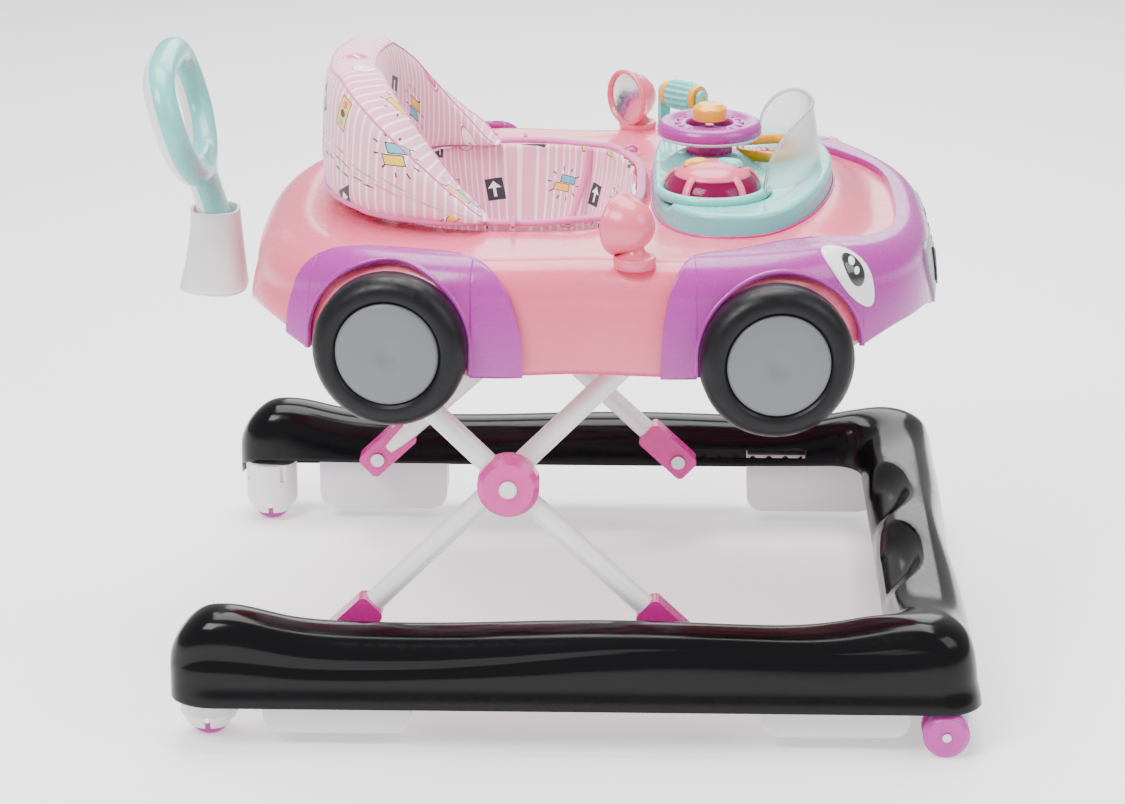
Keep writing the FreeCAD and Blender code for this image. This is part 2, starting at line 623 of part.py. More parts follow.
def make_leg_fittings():
    clamp = side_slab("PivotClamp", rectangle("rear_pivot_x - 15", "rear_pivot_x + 15", "high_pivot_z - 16",
                                              "body_top - body_wall"),
                      "-170", "-150", [8, 8, None, None])
    bore = rod("ClampBore", "tube_radius + running_gap", 40, "rear_pivot_x", -180, "high_pivot_z", ALONG_LEFT)
    pair("leg_pivot_clamps", cut("PivotClamp", clamp, bore))
    track = side_slab("LegTrack", rectangle("front_pivot_x - 28", "front_pivot_x + 118", "high_pivot_z - 20",
                                            "body_top - body_wall"),
                      "-133", "-125", [8, 8, None, None])
    gap = outline(track, "XZ_Plane", "133", rectangle("front_pivot_x - 14", "front_pivot_x + 110",
                                                     "high_pivot_z - tube_radius - 0.6",
                                                     "high_pivot_z + tube_radius + 0.6"), 8)
    pocket(track, gap, 20)
    pair("leg_slide_tracks", track)


# Seat

def make_seat():
    ring = slab("seat_ring", seat_outline("ring_lip"), "body_top", "ring_top", "seat_corner + ring_lip")
    hole = outline(ring, "XY_Plane", "ring_top", seat_outline("-ring_lip"), "seat_corner - ring_lip")
    pocket(ring, hole, "ring_top - body_top")
    part(ring, "seat_ring")

    sling = doc.addObject("PartDesign::Body", "Sling")
    for kind, wall, low, high in (("Additive", 0, "sling_low", "ring_top"),
                                  ("Subtractive", "sling_wall", "sling_low + sling_wall", "ring_top + 0.1")):
        rims = [outline(sling, "XY_Plane", z, seat_outline(f"-({inset} + {wall})"),
                        f"seat_corner - ({inset} + {wall})")
                for z, inset in ((low, "sling_inset"), (high, "ring_lip + 0.4"))]
        loft(sling, kind, rims)
    holes = [rod("LegHole", "leg_hole_radius", 160, -70, y, 376, turn(V(0, 1, 0), 110)) for y in (-62, 62)]
    part(cut("Sling", sling, *holes), "seat_sling")

    back = slab("SeatBack", rectangle("pad_rear", "pad_tip", "-pad_half", "pad_half"), "ring_top + 0.3",
                "pad_top", [110, None, None, 110])
    lean = outline(back, "XY_Plane", "pad_top", rectangle("pad_rear + pad_thick", "pad_tip + 60",
                                                         "-pad_half + pad_thick", "pad_half - pad_thick"),
                   [75, None, None, 75])
    pocket(back, lean, "pad_top - ring_top")
    slope = outline(back, "XZ_Plane", 0, [("pad_tip - 112", "pad_top + 5"), ("pad_tip + 20", "pad_top + 5"),
                                          ("pad_tip + 20", "ring_top - 5"), ("pad_tip - 6", "ring_top + 10")])
    pocket(back, slope, "3 * pad_half", midplane=True)
    part(back, "seat_back_pad")


# Dashboard and its toys

def make_dashboard():
    corners = rectangle("dash_rear", "dash_front", "-dash_half", "dash_half")
    dash = slab("dashboard", corners, "body_top", "dash_top", [24, 50, 50, 24])
    soften(dash, dash.Tip, at_height("dash_top"), 7)
    inner = rectangle("dash_rear + dash_wall", "dash_front - dash_wall", "-dash_half + dash_wall",
                      "dash_half - dash_wall")
    hollow = pocket(dash, outline(dash, "XY_Plane", "body_top", inner, [21, 47, 47, 21]),
                    "dash_top - body_top - dash_wall", toward_normal=True)
    soften(dash, hollow, at_height("dash_top - dash_wall"), 4)
    part(dash, "dashboard")
    ring = turned("ScreenWall", [("screen_radius - screen_wall", "dash_top"), ("screen_radius", "dash_top"),
                                 ("screen_radius", "screen_top"), ("screen_radius - screen_wall", "screen_top")])
    place(ring, "screen_x", 0, 0)
    window = slab("ScreenWedge", [("screen_x", 0), ("screen_x + 120", -120), ("screen_x + 120", 120)],
                  "dash_top - 1", "screen_top + 1")
    part(common("Screen", ring, window), "windscreen")


def make_steering():
    column = turned("SteeringColumn", [(0, "dash_top"), (26, "dash_top"), (19, "dash_top + 10"),
                                       (23, "steer_z - 8.5"), ("post_radius", "steer_z - 8.5"),
                                       ("post_radius", "steer_z + 6"), (0, "steer_z + 6")])
    part(place(column, "steer_x", 0, 0), "steering_column")
    rim = doc.addObject("Part::Torus", "SteerRim")
    bind(rim, "Radius1", "steer_radius")
    bind(rim, "Radius2", "steer_tube")
    hub = turned("SteerHub", [("post_radius + running_gap", "-7.5"), (21, "-7.5"), (21, 14),
                              ("horn_radius + 0.5", 14), ("horn_radius + 0.5", 8),
                              ("post_radius + running_gap", 8)])
    spokes = []
    for degrees in (90, 210, 330):
        spoke = block(f"Spoke{degrees}", (19, "steer_radius"), (-9, 9), (-5, 3))
        spoke.Placement = FreeCAD.Placement(V(), turn(V(0, 0, 1), degrees)).multiply(spoke.Placement)
        for axis in "xyz":
            spoke.setExpression(f"Placement.Base.{axis}", None)
        spokes.append(spoke)
    wheel = fuse("SteeringWheel", rim, hub, *spokes)
    part(place(wheel, "steer_x", 0, "steer_z"), "steering_wheel")
    horn = turned("Horn", [(0, 11.5), ("horn_radius", 11.5), ("horn_radius", 22), (10, 26), (0, 27)],
                  [None, None, 3, 4, None])
    part(place(horn, "steer_x", 0, "steer_z"), "horn_button")


def make_pod():
    top = "dash_top + 23"
    pod = turned("ButtonPod", [(0, "dash_top"), (44, "dash_top"), (44, "dash_top + 7"), (27, "dash_top + 7"),
                               (27, top), (0, top)])
    bores = circle(pod, "XY_Plane", top, [(-13, 0), (13, 0)], "button_radius + 0.4")
    pocket(pod, bores, 8)
    part(place(pod, "pod_x", "pod_y", 0), "button_pod")
    window = turned("PodWindow", [(41, "dash_top + 7.2"), (43, "dash_top + 7.2"), (43, "dash_top + 11"),
                                  (37, "dash_top + 19"), (28, "dash_top + 22.5"), (27.3, "dash_top + 22.5"),
                                  (27.3, "dash_top + 20.3"), (36, "dash_top + 17"), (41, "dash_top + 10.5")])
    part(place(window, "pod_x", "pod_y", 0), "pod_window")
    for name, x in (("rear", -13), ("front", 13)):
        button = turned(f"Button{name}", [(0, f"{top} - 5.5"), ("button_radius", f"{top} - 5.5"),
                                          ("button_radius", f"{top} + 3"), (0, f"{top} + 5")],
                        [None, None, 2, None])
        part(place(button, f"pod_x + {x}", "pod_y", 0), f"pod_button_{name}")


def make_gauge():
    spread = rectangle(150, 198, 8, 72)
    bezel = slab("gauge_bezel", spread, "dash_top", "dash_top + 12", 18)
    well = rectangle(157, 191, 15, 65)
    pocket(bezel, outline(bezel, "XY_Plane", "dash_top + 12", well, 11), 12)
    part(bezel, "gauge_bezel")
    card = slab("CardPlate", rectangle(157.2, 190.8, 15.2, 64.8), "dash_top", "dash_top + 3", 10.8)
    pivot = rod("CardPivot", 1.5, 8, 174, 40, "dash_top + 2")
    part(fuse("Card", card, pivot), "gauge_card")
    hub = turned("PointerHub", [(1.6, 3.4), (6, 3.4), (6, 8), (1.6, 8)])
    arm = block("PointerArm", (5, 14), (-2.5, 2.5), (4, 7))
    pointer = fuse("Pointer", hub, arm)
    part(place(pointer, 174, 40, "dash_top"), "gauge_pointer")


def make_roller():
    facing = turn(V(0, 0, 1), 50)
    axle = facing * ALONG_LEFT
    items = [slab("RollerFoot", rectangle(-10, 10, -26, 26), "dash_top", "dash_top + 6", 5)]
    for side in (-1, 1):
        low = f"{side} * 23.5 - 2"
        items.append(side_slab("Cheek", rectangle(-7, 7, "dash_top + 5", "roller_z + 8"),
                               low, f"{low} + 4", [None, None, 6, 6]))
    bore = rod("RollerBore", 3.08, 70, 0, -35, "roller_z", ALONG_LEFT)
    bracket = cut("Roller", fuse("Roller", *items), bore)
    part(place(bracket, "roller_x", "roller_y", 0, facing), "roller_bracket")
    barrel = turned("Barrel", [(0, -15), ("roller_radius - 2", -15), ("roller_radius", -10), ("roller_radius", 10),
                               ("roller_radius - 2", 15), (0, 15)])
    part(place(barrel, "roller_x", "roller_y", "roller_z", axle), "roller_barrel")
    caps = []
    for side in (-1, 1):
        cap = turned("RollerCap", [(0, f"{side} * 15"), (12, f"{side} * 15"), (12, f"{side} * 20.5"),
                                   (3, f"{side} * 20.5"), (3, f"{side} * 25"), (0, f"{side} * 25")])
        caps.append(place(cap, "roller_x", "roller_y", "roller_z", axle))
    part(group("RollerCaps", *caps), "roller_caps")


def make_electronics():
    box = slab("battery_box", rectangle(214, 278, -58, 58), 398, "body_top - body_wall", 6)
    pocket(box, outline(box, "XY_Plane", 398, rectangle(216.5, 275.5, -55.5, 55.5), 4), 33, toward_normal=True)
    part(box, "battery_box")
    part(slab("battery_cover", rectangle(214, 278, -58, 58), 395, 398, 6), "battery_cover")


# Push handle

def handle_outline():
    side = [("neck_half", 0), ("neck_half", 66), ("handle_half", 118), ("handle_half - 10", "handle_height")]
    return [(f"-({y})", z) for y, z in side] + [(y, z) for y, z in reversed(side)]


def make_handle():
    lean = turn(V(0, 1, 0), -size("handle_lean"))
    gap = [(-22, 98), (-66, 126), (-58, "handle_height - 30"), (58, "handle_height - 30"), (66, 126), (22, 98)]
    for label, low, high in (("handle_front_shell", 0, "handle_front"), ("handle_rear_shell", "-handle_rear", 0)):
        shell = front_slab(label, handle_outline(), low, high, [None, 20, 36, 44, 44, 36, 20, None])
        hole = outline(shell, "YZ_Plane", high, gap, [14, 24, 24, 24, 24, 14])
        pocket(shell, hole, f"{high} - ({low})")
        part(place(shell, "handle_x", 0, "handle_low", lean), label)
    socket = doc.addObject("PartDesign::Body", "HandleSocket")
    foot = outline(socket, "XY_Plane", "body_low + 5", rectangle(-383, "-body_rear - 0.2", -40, 40), 12)
    mouth = outline(socket, "XY_Plane", "handle_low + 40", rectangle(-373, "-body_rear - 0.2", -25, 25), 8)
    loft(socket, "Additive", [foot, mouth])
    neck = block("NeckRoom", ("-handle_rear - 0.2", "handle_front + 0.2"), ("-neck_half - 0.2", "neck_half + 0.2"),
                 (-0.2, 90))
    for axis in "xyz":
        neck.setExpression(f"Placement.Base.{axis}", None)
    neck.Placement = FreeCAD.Placement(V(size("handle_x"), 0, size("handle_low")), lean).multiply(neck.Placement)
    part(cut("HandleSocket", socket, neck), "handle_socket")


def check_model():
    """Stop if any object failed or any sub-part has no sound shape."""
    faults = [item.Name for item in doc.Objects if {"Invalid", "Error"} & set(item.State)]
    faults += [item.Label for item in parts if item.Shape.isNull() or not item.Shape.isValid()]
    if faults:
        raise ValueError(f"failed objects: {faults}")


def centring_move():
    """The move along X that puts the origin under the middle of the walker."""
    boxes = [item.Shape.optimalBoundingBox() for item in parts]
    middle = (min(box.XMin for box in boxes) + max(box.XMax for box in boxes)) / 2
    return V(-middle, 0, 0)


def export_parts():
    os.makedirs("parts", exist_ok=True)
    move = centring_move()
    print(f"moved {move.x:.3f} mm along X")
    for item in parts:
        shape = item.Shape.copy()
        shape.translate(move)
        shape.exportStep(f"parts/{item.Label}.step")
        print(f"{item.Label}: {len(shape.Solids)} solids, {shape.Volume / 1000:.1f} cm3")


base_frame = make_base()
make_rear_wheels(base_frame)
make_casters(base_frame)
make_grips()
make_legs()
make_body()
core_form = body_form("CoreForm", "fascia_low - 60", 0)
skin_form = make_fenders(core_form)
make_grille()
make_lamps(skin_form)
make_tyres(core_form)
make_mirrors(core_form)
make_leg_fittings()
make_seat()
make_dashboard()
make_steering()
make_pod()
make_gauge()
make_roller()
make_electronics()
make_handle()
doc.recompute()
check_model()
export_parts()
print(len(parts), "sub-parts")
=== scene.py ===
import math
import random

import bmesh
import bpy
import numpy as np
from mathutils import Matrix, Vector, noise


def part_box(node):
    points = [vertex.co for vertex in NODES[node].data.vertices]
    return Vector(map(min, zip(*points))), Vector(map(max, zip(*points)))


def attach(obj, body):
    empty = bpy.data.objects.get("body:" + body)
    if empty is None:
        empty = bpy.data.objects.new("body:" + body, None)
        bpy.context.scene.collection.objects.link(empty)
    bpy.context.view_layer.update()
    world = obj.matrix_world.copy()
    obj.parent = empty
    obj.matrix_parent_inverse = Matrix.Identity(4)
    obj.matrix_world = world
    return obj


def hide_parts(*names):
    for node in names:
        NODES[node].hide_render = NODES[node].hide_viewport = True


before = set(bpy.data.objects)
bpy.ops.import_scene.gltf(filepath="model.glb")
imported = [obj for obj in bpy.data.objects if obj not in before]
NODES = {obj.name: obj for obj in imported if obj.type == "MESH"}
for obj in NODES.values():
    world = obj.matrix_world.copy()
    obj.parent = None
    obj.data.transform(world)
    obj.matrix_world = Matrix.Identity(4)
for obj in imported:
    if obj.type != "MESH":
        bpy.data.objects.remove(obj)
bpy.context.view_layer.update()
random.seed(7)

BASE_LOW, BASE_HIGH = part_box("base_frame")
MIDDLE = (BASE_LOW.x + BASE_HIGH.x) / 2          # the base's middle, where X = 0 in this script
TRAY_LOW, TRAY_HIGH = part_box("body_shell")
TOP_Z = TRAY_HIGH.z
SKIRT_Z = TRAY_LOW.z

PINK = (0.80, 0.120, 0.215)
PURPLE = (0.36, 0.022, 0.29)
MINT = (0.16, 0.56, 0.52)
YELLOW = (0.88, 0.36, 0.002)
MAGENTA = (0.60, 0.018, 0.27)


# ---------------------------------------------------------------- materials

class Shader:
    """Small helper that adds nodes to one material."""

    def __init__(self, name):
        self.material = bpy.data.materials.new(name)
        self.material.use_nodes = True
        self.tree = self.material.node_tree
        self.bsdf = self.tree.nodes["Principled BSDF"]

    def put(self, socket, value):
        if isinstance(value, bpy.types.NodeSocket):
            self.tree.links.new(value, socket)
        elif value is not None:
            socket.default_value = value

    def node(self, kind, **settings):
        made = self.tree.nodes.new(kind)
        for key, value in settings.items():
            setattr(made, key, value)
        return made

    def math(self, operation, a, b=None, c=None, clamp=False):
        made = self.node("ShaderNodeMath", operation=operation, use_clamp=clamp)
        for socket, value in zip(made.inputs, (a, b, c)):
            self.put(socket, value)
        return made.outputs[0]

    def noise(self, scale, detail=2.0, vector=None, rough=0.5):
        made = self.node("ShaderNodeTexNoise")
        made.inputs["Scale"].default_value = scale
        made.inputs["Detail"].default_value = detail
        made.inputs["Roughness"].default_value = rough
        self.put(made.inputs["Vector"], vector if vector else self.coords())
        return made.outputs["Fac"]

    def coords(self, kind="Object"):
        return self.node("ShaderNodeTexCoord").outputs[kind]

    def spread(self, value, low, high):
        """A value between 0 and 1 moved to between low and high."""
        made = self.node("ShaderNodeMapRange")
        self.put(made.inputs["Value"], value)
        made.inputs["From Min"].default_value = 0.3
        made.inputs["From Max"].default_value = 0.7
        made.inputs["To Min"].default_value = low
        made.inputs["To Max"].default_value = high
        return made.outputs["Result"]

    def mix(self, factor, a, b):
        made = self.node("ShaderNodeMix", data_type="RGBA")
        self.put(made.inputs["Factor"], factor)
        for socket, value in ((made.inputs[6], a), (made.inputs[7], b)):
            if isinstance(value, tuple):
                value = (*value[:3], 1.0)
            self.put(socket, value)
        return made.outputs[2]

    def bump(self, height, strength, distance, under=None):
        made = self.node("ShaderNodeBump")
        made.inputs["Strength"].default_value = strength
        made.inputs["Distance"].default_value = distance
        self.put(made.inputs["Height"], height)
        if under is not None:
            self.put(made.inputs["Normal"], under)
        return made.outputs["Normal"]


def shade(colour, factor):
    return tuple(min(1.0, channel * factor) for channel in colour)


def moulded(name, colour, rough=0.25, coat=0.0, grain=0.15, specular=0.5, scatter=0.0):
    """Moulded plastic: faint colour drift, flow marks, small scuffs and a slightly wavy skin."""
    s = Shader(name)
    drift = s.noise(9.0, 3.0)
    s.put(s.bsdf.inputs["Base Color"], s.mix(drift, shade(colour, 0.93), shade(colour, 1.06)))
    scuff = s.noise(140.0, 4.0)
    s.put(s.bsdf.inputs["Roughness"], s.spread(scuff, rough * 0.8, rough * 1.35))
    s.bsdf.inputs["Specular IOR Level"].default_value = specular
    s.bsdf.inputs["Coat Weight"].default_value = coat
    s.bsdf.inputs["Coat Roughness"].default_value = 0.06
    if scatter:
        s.bsdf.inputs["Subsurface Weight"].default_value = scatter
        s.bsdf.inputs["Subsurface Radius"].default_value = (0.012, 0.008, 0.008)
        s.bsdf.inputs["Subsurface Scale"].default_value = 0.4
    wave = s.bump(s.noise(28.0, 2.0), grain * 0.35, 0.0012)
    s.put(s.bsdf.inputs["Normal"], s.bump(s.noise(900.0, 2.0), grain, 0.00015, wave))
    return s.material


def metal(name, colour, rough, bumpy=0.05):
    s = Shader(name)
    streak = s.noise(220.0, 4.0)
    s.put(s.bsdf.inputs["Base Color"], s.mix(streak, shade(colour, 0.85), shade(colour, 1.1)))
    s.put(s.bsdf.inputs["Roughness"], s.spread(streak, rough * 0.7, rough * 1.4))
    s.bsdf.inputs["Metallic"].default_value = 1.0
    s.put(s.bsdf.inputs["Normal"], s.bump(streak, bumpy, 0.0002))
    return s.material


def painted_tube(name):
    """White powder coat with its fine orange-peel texture."""
    s = Shader(name)
    peel = s.noise(650.0, 2.0)
    s.put(s.bsdf.inputs["Base Color"], s.mix(s.noise(12.0, 2.0), (0.80, 0.80, 0.83), (0.88, 0.88, 0.90)))
    s.put(s.bsdf.inputs["Roughness"], s.spread(peel, 0.22, 0.34))
    s.bsdf.inputs["Coat Weight"].default_value = 0.3
    s.put(s.bsdf.inputs["Normal"], s.bump(peel, 0.12, 0.0002))
    return s.material


def frosted(name, colour, alpha_like, rough):
    """Milky translucent plastic."""
    s = Shader(name)
    cloud = s.noise(18.0, 3.0)
    s.put(s.bsdf.inputs["Base Color"], s.mix(cloud, shade(colour, 0.95), colour))
    s.put(s.bsdf.inputs["Roughness"], s.spread(s.noise(300.0), rough * 0.85, rough * 1.2))
    s.bsdf.inputs["Transmission Weight"].default_value = alpha_like
    s.bsdf.inputs["IOR"].default_value = 1.3
    s.bsdf.inputs["Subsurface Weight"].default_value = 0.15
    s.bsdf.inputs["Subsurface Scale"].default_value = 0.01
    s.put(s.bsdf.inputs["Normal"], s.bump(cloud, 0.08, 0.0006))
    return s.material


def rotated(s, x, y, angle):
    """Local coordinates turned by an angle socket."""
    cos, sin = s.math("COSINE", angle), s.math("SINE", angle)
    across = s.math("SUBTRACT", s.math("MULTIPLY", x, cos), s.math("MULTIPLY", y, sin))
    up = s.math("ADD", s.math("MULTIPLY", x, sin), s.math("MULTIPLY", y, cos))
    return across, up


def box_field(s, x, y, half_x, half_y, centre=(0.0, 0.0)):
    """Distance-like field of a rectangle: negative inside."""
    dx = s.math("SUBTRACT", s.math("ABSOLUTE", s.math("SUBTRACT", x, centre[0])), half_x)
    dy = s.math("SUBTRACT", s.math("ABSOLUTE", s.math("SUBTRACT", y, centre[1])), half_y)
    return s.math("MAXIMUM", dx, dy)


def disc_field(s, x, y, radius, centre=(0.0, 0.0)):
    dx, dy = s.math("SUBTRACT", x, centre[0]), s.math("SUBTRACT", y, centre[1])
    length = s.math("SQRT", s.math("ADD", s.math("MULTIPLY", dx, dx), s.math("MULTIPLY", dy, dy)))
    return s.math("SUBTRACT", length, radius)


def inside(s, field):
    return s.math("LESS_THAN", field, 0.0)


def between(s, value, low, high):
    return s.math("MULTIPLY", s.math("GREATER_THAN", value, low), s.math("LESS_THAN", value, high))


def printed_fabric(name, stripe_along="u"):
    """Pale pink cotton blend: white pinstripes, plain weave, and small generic road-themed prints.

    UV is in metres on the cloth. The prints are dials, filled discs, signal
    lights, arrow plates and two-bar bursts, one to a cell, with no lettering.
    """
    s = Shader(name)
    uv = s.node("ShaderNodeSeparateXYZ")
    s.put(uv.inputs[0], s.coords("UV"))
    u, v = uv.outputs[0], uv.outputs[1]
    along = u if stripe_along == "u" else v
    wobble = s.math("MULTIPLY", s.math("SUBTRACT", s.noise(12.0), 0.5), 0.0012)
    phase = s.math("FRACT", s.math("DIVIDE", s.math("ADD", along, wobble), 0.0078))
    stripe = between(s, phase, 0.36, 0.62)
    colour = s.mix(s.noise(30.0, 3.0), (0.84, 0.36, 0.50), (0.89, 0.42, 0.56))
    colour = s.mix(stripe, colour, (0.95, 0.83, 0.87))

    cell_u, cell_v = 0.052, 0.056
    row = s.math("FLOOR", s.math("DIVIDE", v, cell_v))
    shift = s.math("MULTIPLY", s.math("MODULO", row, 2.0), 0.5)
    column_place = s.math("ADD", s.math("DIVIDE", u, cell_u), shift)
    column = s.math("FLOOR", column_place)
    cell = s.node("ShaderNodeCombineXYZ")
    s.put(cell.inputs[0], s.math("ADD", column, 7.3))
    s.put(cell.inputs[1], s.math("ADD", row, 3.7))
    chance = s.node("ShaderNodeTexWhiteNoise", noise_dimensions="3D")
    s.put(chance.inputs["Vector"], cell.outputs[0])
    dice = s.node("ShaderNodeSeparateColor")
    s.put(dice.inputs[0], chance.outputs["Color"])
    kind = chance.outputs["Value"]
    x = s.math("MULTIPLY", s.math("SUBTRACT", s.math("FRACT", column_place), 0.5), cell_u)
    y = s.math("MULTIPLY", s.math("SUBTRACT", s.math("FRACT", s.math("DIVIDE", v, cell_v)), 0.5), cell_v)
    x = s.math("ADD", x, s.math("MULTIPLY", s.math("SUBTRACT", dice.outputs[0], 0.5), 0.010))
    y = s.math("ADD", y, s.math("MULTIPLY", s.math("SUBTRACT", dice.outputs[1], 0.5), 0.012))
    angle = s.math("MULTIPLY", s.math("SUBTRACT", dice.outputs[2], 0.5), 0.9)
    x, y = rotated(s, x, y, angle)

    def paint(base, kinds, layers):
        chosen = between(s, kind, *kinds)
        for field, ink in layers:
            base = s.mix(s.math("MULTIPLY", chosen, inside(s, field)), base, ink)
        return base

    white, ink_black = (0.93, 0.90, 0.92), (0.035, 0.04, 0.05)
    yellow, teal = (0.86, 0.56, 0.06), (0.12, 0.45, 0.58)
    rose = (0.72, 0.08, 0.24)
    colour = paint(colour, (0.0, 0.26), [
        (disc_field(s, x, y, 0.0125), rose), (disc_field(s, x, y, 0.0113), white),
        (box_field(s, x, y, 0.0008, 0.0045, (0.0, 0.003)), rose), (disc_field(s, x, y, 0.0021), rose)])
    colour = paint(colour, (0.26, 0.42), [
        (disc_field(s, x, y, 0.0135), rose), (disc_field(s, x, y, 0.0118), white),
        (disc_field(s, x, y, 0.0108), rose), (box_field(s, x, y, 0.0075, 0.0018), white)])
    colour = paint(colour, (0.42, 0.58), [
        (box_field(s, x, y, 0.0072, 0.0150), ink_black), (box_field(s, x, y, 0.0062, 0.0140), yellow),
        (disc_field(s, x, y, 0.0036, (0.0, 0.0088)), rose), (disc_field(s, x, y, 0.0036), ink_black),
        (disc_field(s, x, y, 0.0036, (0.0, -0.0088)), teal)])
    slant = s.math("SUBTRACT", s.math("ADD", s.math("ABSOLUTE", x), s.math("MULTIPLY", y, 0.9)), 0.0085)
    head = s.math("MAXIMUM", slant, s.math("SUBTRACT", 0.0015, y))
    colour = paint(colour, (0.58, 0.74), [
        (box_field(s, x, y, 0.0095, 0.0125), ink_black),
        (box_field(s, x, y, 0.0016, 0.0050, (0.0, -0.0035)), white), (head, white)])
    ray = s.math("ABSOLUTE", s.math("SINE", s.math("MULTIPLY", s.math("ARCTAN2", y, x), 5.0)))
    ring = between(s, disc_field(s, x, y, 0.0), 0.0150, 0.0195)
    rays = s.math("SUBTRACT", 0.5, s.math("MULTIPLY", ring, s.math("LESS_THAN", ray, 0.20)))
    colour = paint(colour, (0.74, 0.93), [
        (rays, ink_black), (box_field(s, x, y, 0.0095, 0.0046, (-0.003, 0.0052)), ink_black),
        (box_field(s, x, y, 0.0086, 0.0037, (-0.003, 0.0052)), teal),
        (box_field(s, x, y, 0.0095, 0.0046, (0.003, -0.0046)), ink_black),
        (box_field(s, x, y, 0.0086, 0.0037, (0.003, -0.0046)), yellow)])
    s.put(s.bsdf.inputs["Base Color"], colour)
    s.put(s.bsdf.inputs["Roughness"], s.spread(s.noise(200.0), 0.72, 0.86))
    s.bsdf.inputs["Sheen Weight"].default_value = 0.25
    s.bsdf.inputs["Sheen Roughness"].default_value = 0.5
    s.bsdf.inputs["Specular IOR Level"].default_value = 0.25
    weft = s.math("SINE", s.math("MULTIPLY", u, 6283.0))
    warp = s.math("SINE", s.math("MULTIPLY", v, 6283.0))
    weave = s.bump(s.math("MULTIPLY", weft, warp), 0.25, 0.0002)
    s.put(s.bsdf.inputs["Normal"], s.bump(s.noise(55.0, 3.0), 0.30, 0.0015, weave))
    return s.material


def binding(name, colour):
    """Woven edge tape with a slightly fuzzy pile."""
    s = Shader(name)
    rib = s.noise(900.0, 3.0)
    s.put(s.bsdf.inputs["Base Color"], s.mix(rib, shade(colour, 0.75), shade(colour, 1.15)))
    s.put(s.bsdf.inputs["Roughness"], s.spread(rib, 0.8, 0.95))
    s.bsdf.inputs["Sheen Weight"].default_value = 0.5
    s.put(s.bsdf.inputs["Normal"], s.bump(rib, 0.7, 0.0008))
    return s.material


def card_print(name):
    """The gauge's printed card: rose and white stripes round a teal spot."""
    s = Shader(name)
    place = s.node("ShaderNodeSeparateXYZ")
    s.put(place.inputs[0], s.coords())
    stripe = s.math("LESS_THAN", s.math("FRACT", s.math("DIVIDE", place.outputs[0], 0.0042)), 0.5)
    colour = s.mix(stripe, (0.86, 0.66, 0.74), (0.62, 0.20, 0.36))
    _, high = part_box("gauge_card")
    spot = disc_field(s, place.outputs[0], place.outputs[1], 0.006, (high.x - 0.011, high.y - 0.012))
    s.put(s.bsdf.inputs["Base Color"], s.mix(inside(s, spot), colour, (0.25, 0.62, 0.66)))
    s.put(s.bsdf.inputs["Roughness"], s.spread(s.noise(160.0), 0.30, 0.42))
    return s.material


MATERIAL = {
    "pink": moulded("body_pink_plastic", PINK, rough=0.24, coat=0.25, scatter=0.05),
    "purple": moulded("fender_purple_plastic", PURPLE, rough=0.27, coat=0.2),
    "black": moulded("base_black_plastic", (0.0025, 0.0023, 0.003), rough=0.14, grain=0.2, specular=0.20),
    "tyre": moulded("tyre_black_plastic", (0.006, 0.006, 0.007), rough=0.36, grain=0.3, specular=0.22),
    "cap": moulded("hub_cap_grey", (0.150, 0.155, 0.163), rough=0.40, grain=0.2, specular=0.35),
    "white": moulded("white_plastic", (0.74, 0.74, 0.77), rough=0.35, scatter=0.1),
    "eye": moulded("lamp_white_plastic", (0.86, 0.86, 0.86), rough=0.18, coat=0.4),
    "pupil": moulded("lamp_dark_plastic", (0.02, 0.021, 0.024), rough=0.15, coat=0.5),
    "magenta": moulded("bracket_magenta_plastic", MAGENTA, rough=0.25, coat=0.3),
    "wheel": moulded("wheel_magenta_plastic", (0.46, 0.035, 0.32), rough=0.32),
    "mint": moulded("mint_plastic", MINT, rough=0.24, coat=0.25, scatter=0.05),
    "yellow": moulded("yellow_plastic", YELLOW, rough=0.24, coat=0.3),
    "red": moulded("red_plastic", (0.62, 0.008, 0.02), rough=0.22, coat=0.4),
    "grille": moulded("grille_grey_plastic", (0.28, 0.29, 0.31), rough=0.35),
    "slot": moulded("grille_dark_plastic", (0.020, 0.020, 0.022), rough=0.5, specular=0.2),
    "inner": moulded("inner_plastic", (0.60, 0.60, 0.62), rough=0.45),
    "rubber": moulded("grip_rubber", (0.28, 0.28, 0.29), rough=0.75, grain=0.6, specular=0.2),
    "tube": painted_tube("leg_powder_coat"),
    "steel": metal("zinc_steel", (0.62, 0.62, 0.64), 0.28),
    "chrome": metal("plated_axle", (0.80, 0.80, 0.82), 0.08, 0.02),
    "mirror": metal("mirror_film", (0.78, 0.79, 0.80), 0.14, 0.02),
    "frosted": frosted("frosted_plastic", (0.95, 0.95, 0.97), 0.88, 0.22),
    "socket": frosted("milky_socket_plastic", (0.86, 0.85, 0.85), 0.25, 0.35),
    "pod": frosted("tinted_window_plastic", (0.42, 0.010, 0.14), 0.70, 0.06),
    "fabric": printed_fabric("printed_stripe_fabric", "u"),
    "trim": binding("pink_binding_tape", (0.76, 0.15, 0.42)),
    "card": card_print("gauge_card_print"),
}


# ---------------------------------------------------------------- mesh helpers

def finish_piece(piece, body, material, replaced=()):
    """Shift a piece from base-centred coordinates into the frame, and hand it to its body."""
    if piece.type == "MESH":
        piece.data.transform(Matrix.Translation((MIDDLE, 0, 0)))
    else:
        piece.location.x += MIDDLE
    piece.data.materials.clear()
    for item in material if isinstance(material, (list, tuple)) else [material]:
        piece.data.materials.append(MATERIAL[item])
    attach(piece, body)
    if replaced:
        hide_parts(*replaced)
    return piece


